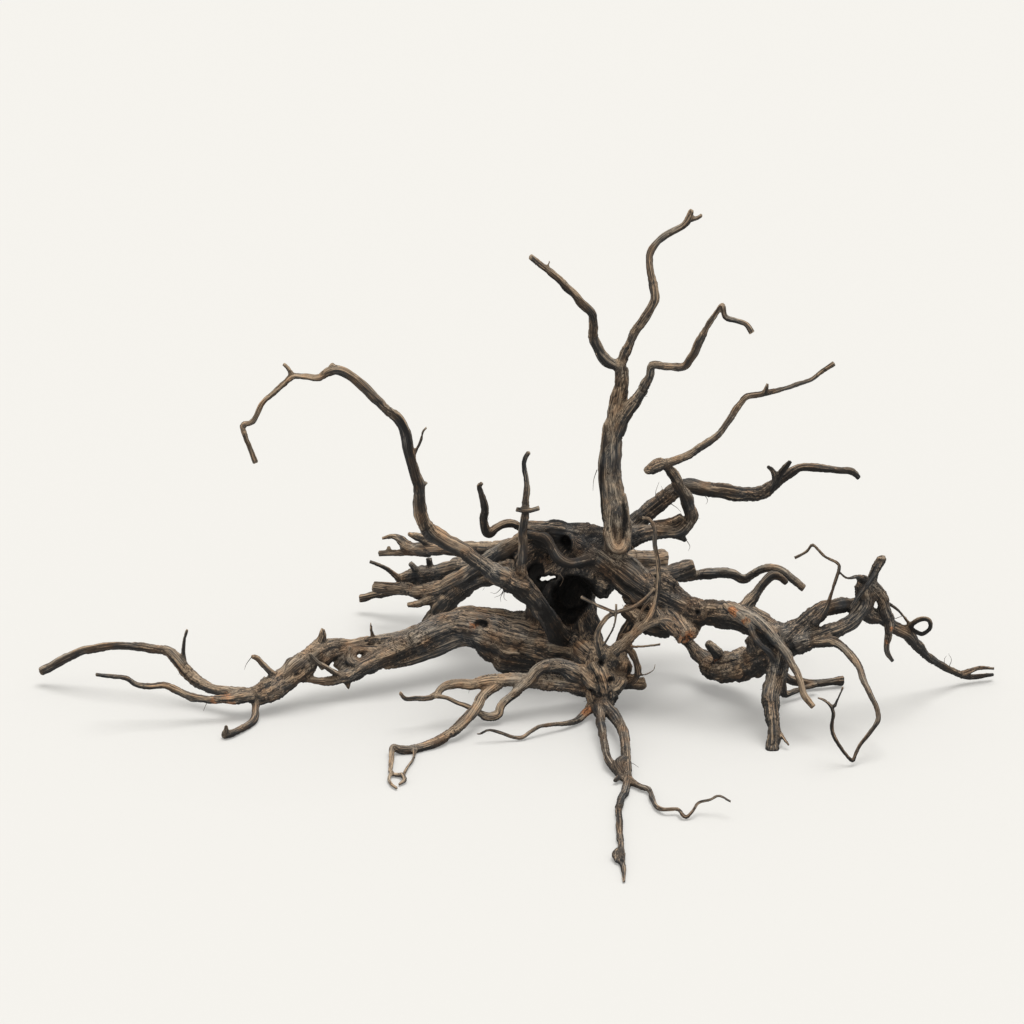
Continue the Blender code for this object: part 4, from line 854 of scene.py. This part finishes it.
strength = smooth(tree, hairs * 0.6 + fine * 0.4, 0.30, 0.70) * 0.85 + 0.50
body = add_node(tree, "ShaderNodeVectorMath", {"operation": "SCALE"}, 0, i0=body, Scale=strength)
# The furrows are painted towards charcoal: painted shade in the grooves.
furrow_shade = smooth(tree, kept("furrow"), 0.10, 0.70)
colour = blend(tree, furrow_shade * 0.8, body, charcoal)
# Inside the hollows the wood is painted near black: painted shade.
colour = blend(tree, kept("hollow") * 0.95, colour, hollow_shade_black)
tree.links.new(colour.socket, shader.inputs["Base Color"])
tree.links.new((0.80 - ridge * 0.15 + furrow_shade * 0.12).socket, shader.inputs["Roughness"])
shader.inputs["Specular IOR Level"].default_value = 0.35
bump = add_node(tree, "ShaderNodeBump", None, 0, Height=hairs * 0.25 + fine * 0.4 + mid * 0.35,
                Strength=0.85, Distance=0.0016)
tree.links.new(bump.socket, shader.inputs["Normal"])
root.data.materials.clear()
root.data.materials.append(wood)
root.data.shade_smooth()
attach(root, "root")
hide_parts("dry_root")

# ---- Loose fibres and hair roots.
# Thin dry hair roots and lifted splinters that still cling to the wood, each a fine tapering
# tube that is rooted in the skin. One dark, dull finish.
HAIRS = [
    [(-10, -34, 150), (-14, -38, 144), (-22, -40, 141)],
    [(-8, -34, 150), (-14, -40, 142), (-14, -42, 136)],
    [(-12, -33, 152), (-20, -38, 146), (-27, -38, 147)], [(-9, -34, 151), (-10, -40, 141), (-6, -42, 137)],
    [(552, -4, 27), (556, -6, 40), (552, -8, 50)], [(548, -6, 30), (547, -8, 42), (549, -10, 48)],
    [(182, 52, 234), (181, 48, 248), (185, 46, 262)], [(186, 54, 236), (190, 50, 246), (188, 48, 256)],
    [(200, 64, 226), (209, 60, 221), (214, 60, 215)], [(106, 12, 292), (102, 8, 280), (101, 6, 266)],
    [(-325, -78, 76), (-331, -80, 68), (-334, -80, 60)],
    [(-380, -90, 22), (-383, -97, 17), (-385, -101, 13)],
    [(150, -10, 198), (156, -16, 190), (154, -18, 180)], [(219, 26, 192), (224, 24, 184), (222, 22, 178)],
    [(243, 82, 232), (248, 80, 224), (246, 80, 218)], [(478, -58, 120), (486, -60, 124), (492, -58, 122)],
    [(60, -14, 162), (64, -22, 158), (60, -26, 150)], [(124, -76, 60), (132, -90, 58), (140, -96, 62)],
    [(33, -82, 66), (30, -88, 74), (34, -90, 82)], [(139, -240, 8), (146, -250, 12), (154, -254, 8)],
]
hair_radius = 0.55
hair_step = 1.2
loose_fibres_kept = 150
chance = np.random.default_rng(7)
hair_rows = [(np.array(h, float), hair_radius) for h in HAIRS]
steady = np.flatnonzero((radius > 4) & (tip > 8) & (points[:, 2] > 12) & (within < 0.1))
for i in chance.choice(steady, loose_fibres_kept, replace=False):
    start = points[i] + (*middle, 0)
    out = normals[i]
    stray = chance.normal(size=3)
    length = chance.uniform(2.5, 6)
    first = start + length * (0.22 * out + 0.30 * stray / np.linalg.norm(stray))
    end = first + length * (0.30 * out + 0.5 * chance.normal(size=3) / 1.7)
    hair_rows.append((np.array([start - out, first, end]), chance.uniform(0.25, 0.42)))
hair_verts, hair_faces, hair_corners = [], [], 5
for line, thickness in hair_rows:
    q = route_points([(*p, thickness) for p in line], hair_step)[0]
    along, across, up = route_frames(q)
    taper = thickness * np.linspace(1, 0.3, len(q))
    base = len(hair_verts)
    for place_at, a, b, r in zip(q, across, up, taper):
        for turn in np.arange(hair_corners) * 2 * np.pi / hair_corners:
            corner = place_at + r * (math.cos(turn) * a + math.sin(turn) * b)
            hair_verts.append(((corner[0] - middle[0]) * mm, (corner[1] - middle[1]) * mm,
                               max(corner[2], 0.2) * mm))
    for i in range(len(q) - 1):
        for c in range(hair_corners):
            one, two = base + i * hair_corners, base + (i + 1) * hair_corners
            d = (c + 1) % hair_corners
            hair_faces.append((one + c, one + d, two + d, two + c))
    hair_faces.append([base + c for c in reversed(range(hair_corners))])
    last = base + (len(q) - 1) * hair_corners
    hair_faces.append([last + c for c in range(hair_corners)])
hair_mesh = bpy.data.meshes.new("loose_fibres")
hair_mesh.from_pydata(hair_verts, [], hair_faces)
hairs_piece = bpy.data.objects.new("loose_fibres", hair_mesh)
bpy.context.scene.collection.objects.link(hairs_piece)
hair_wood = bpy.data.materials.new("hair_root_fibre")
hair_wood.use_nodes = True
tree = hair_wood.node_tree
shader = tree.nodes["Principled BSDF"]
space = add_node(tree, "ShaderNodeTexCoord", None, 3)
shade = noise(tree, space, 60.0, 3.0, 0.6)
colour = blend(tree, smooth(tree, shade, 0.35, 0.65), (0.02, 0.016, 0.012, 1), (0.15, 0.11, 0.075, 1))
tree.links.new(colour.socket, shader.inputs["Base Color"])
shader.inputs["Roughness"].default_value = 0.85
hair_mesh.materials.append(hair_wood)
hair_mesh.shade_smooth()
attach(hairs_piece, "root")
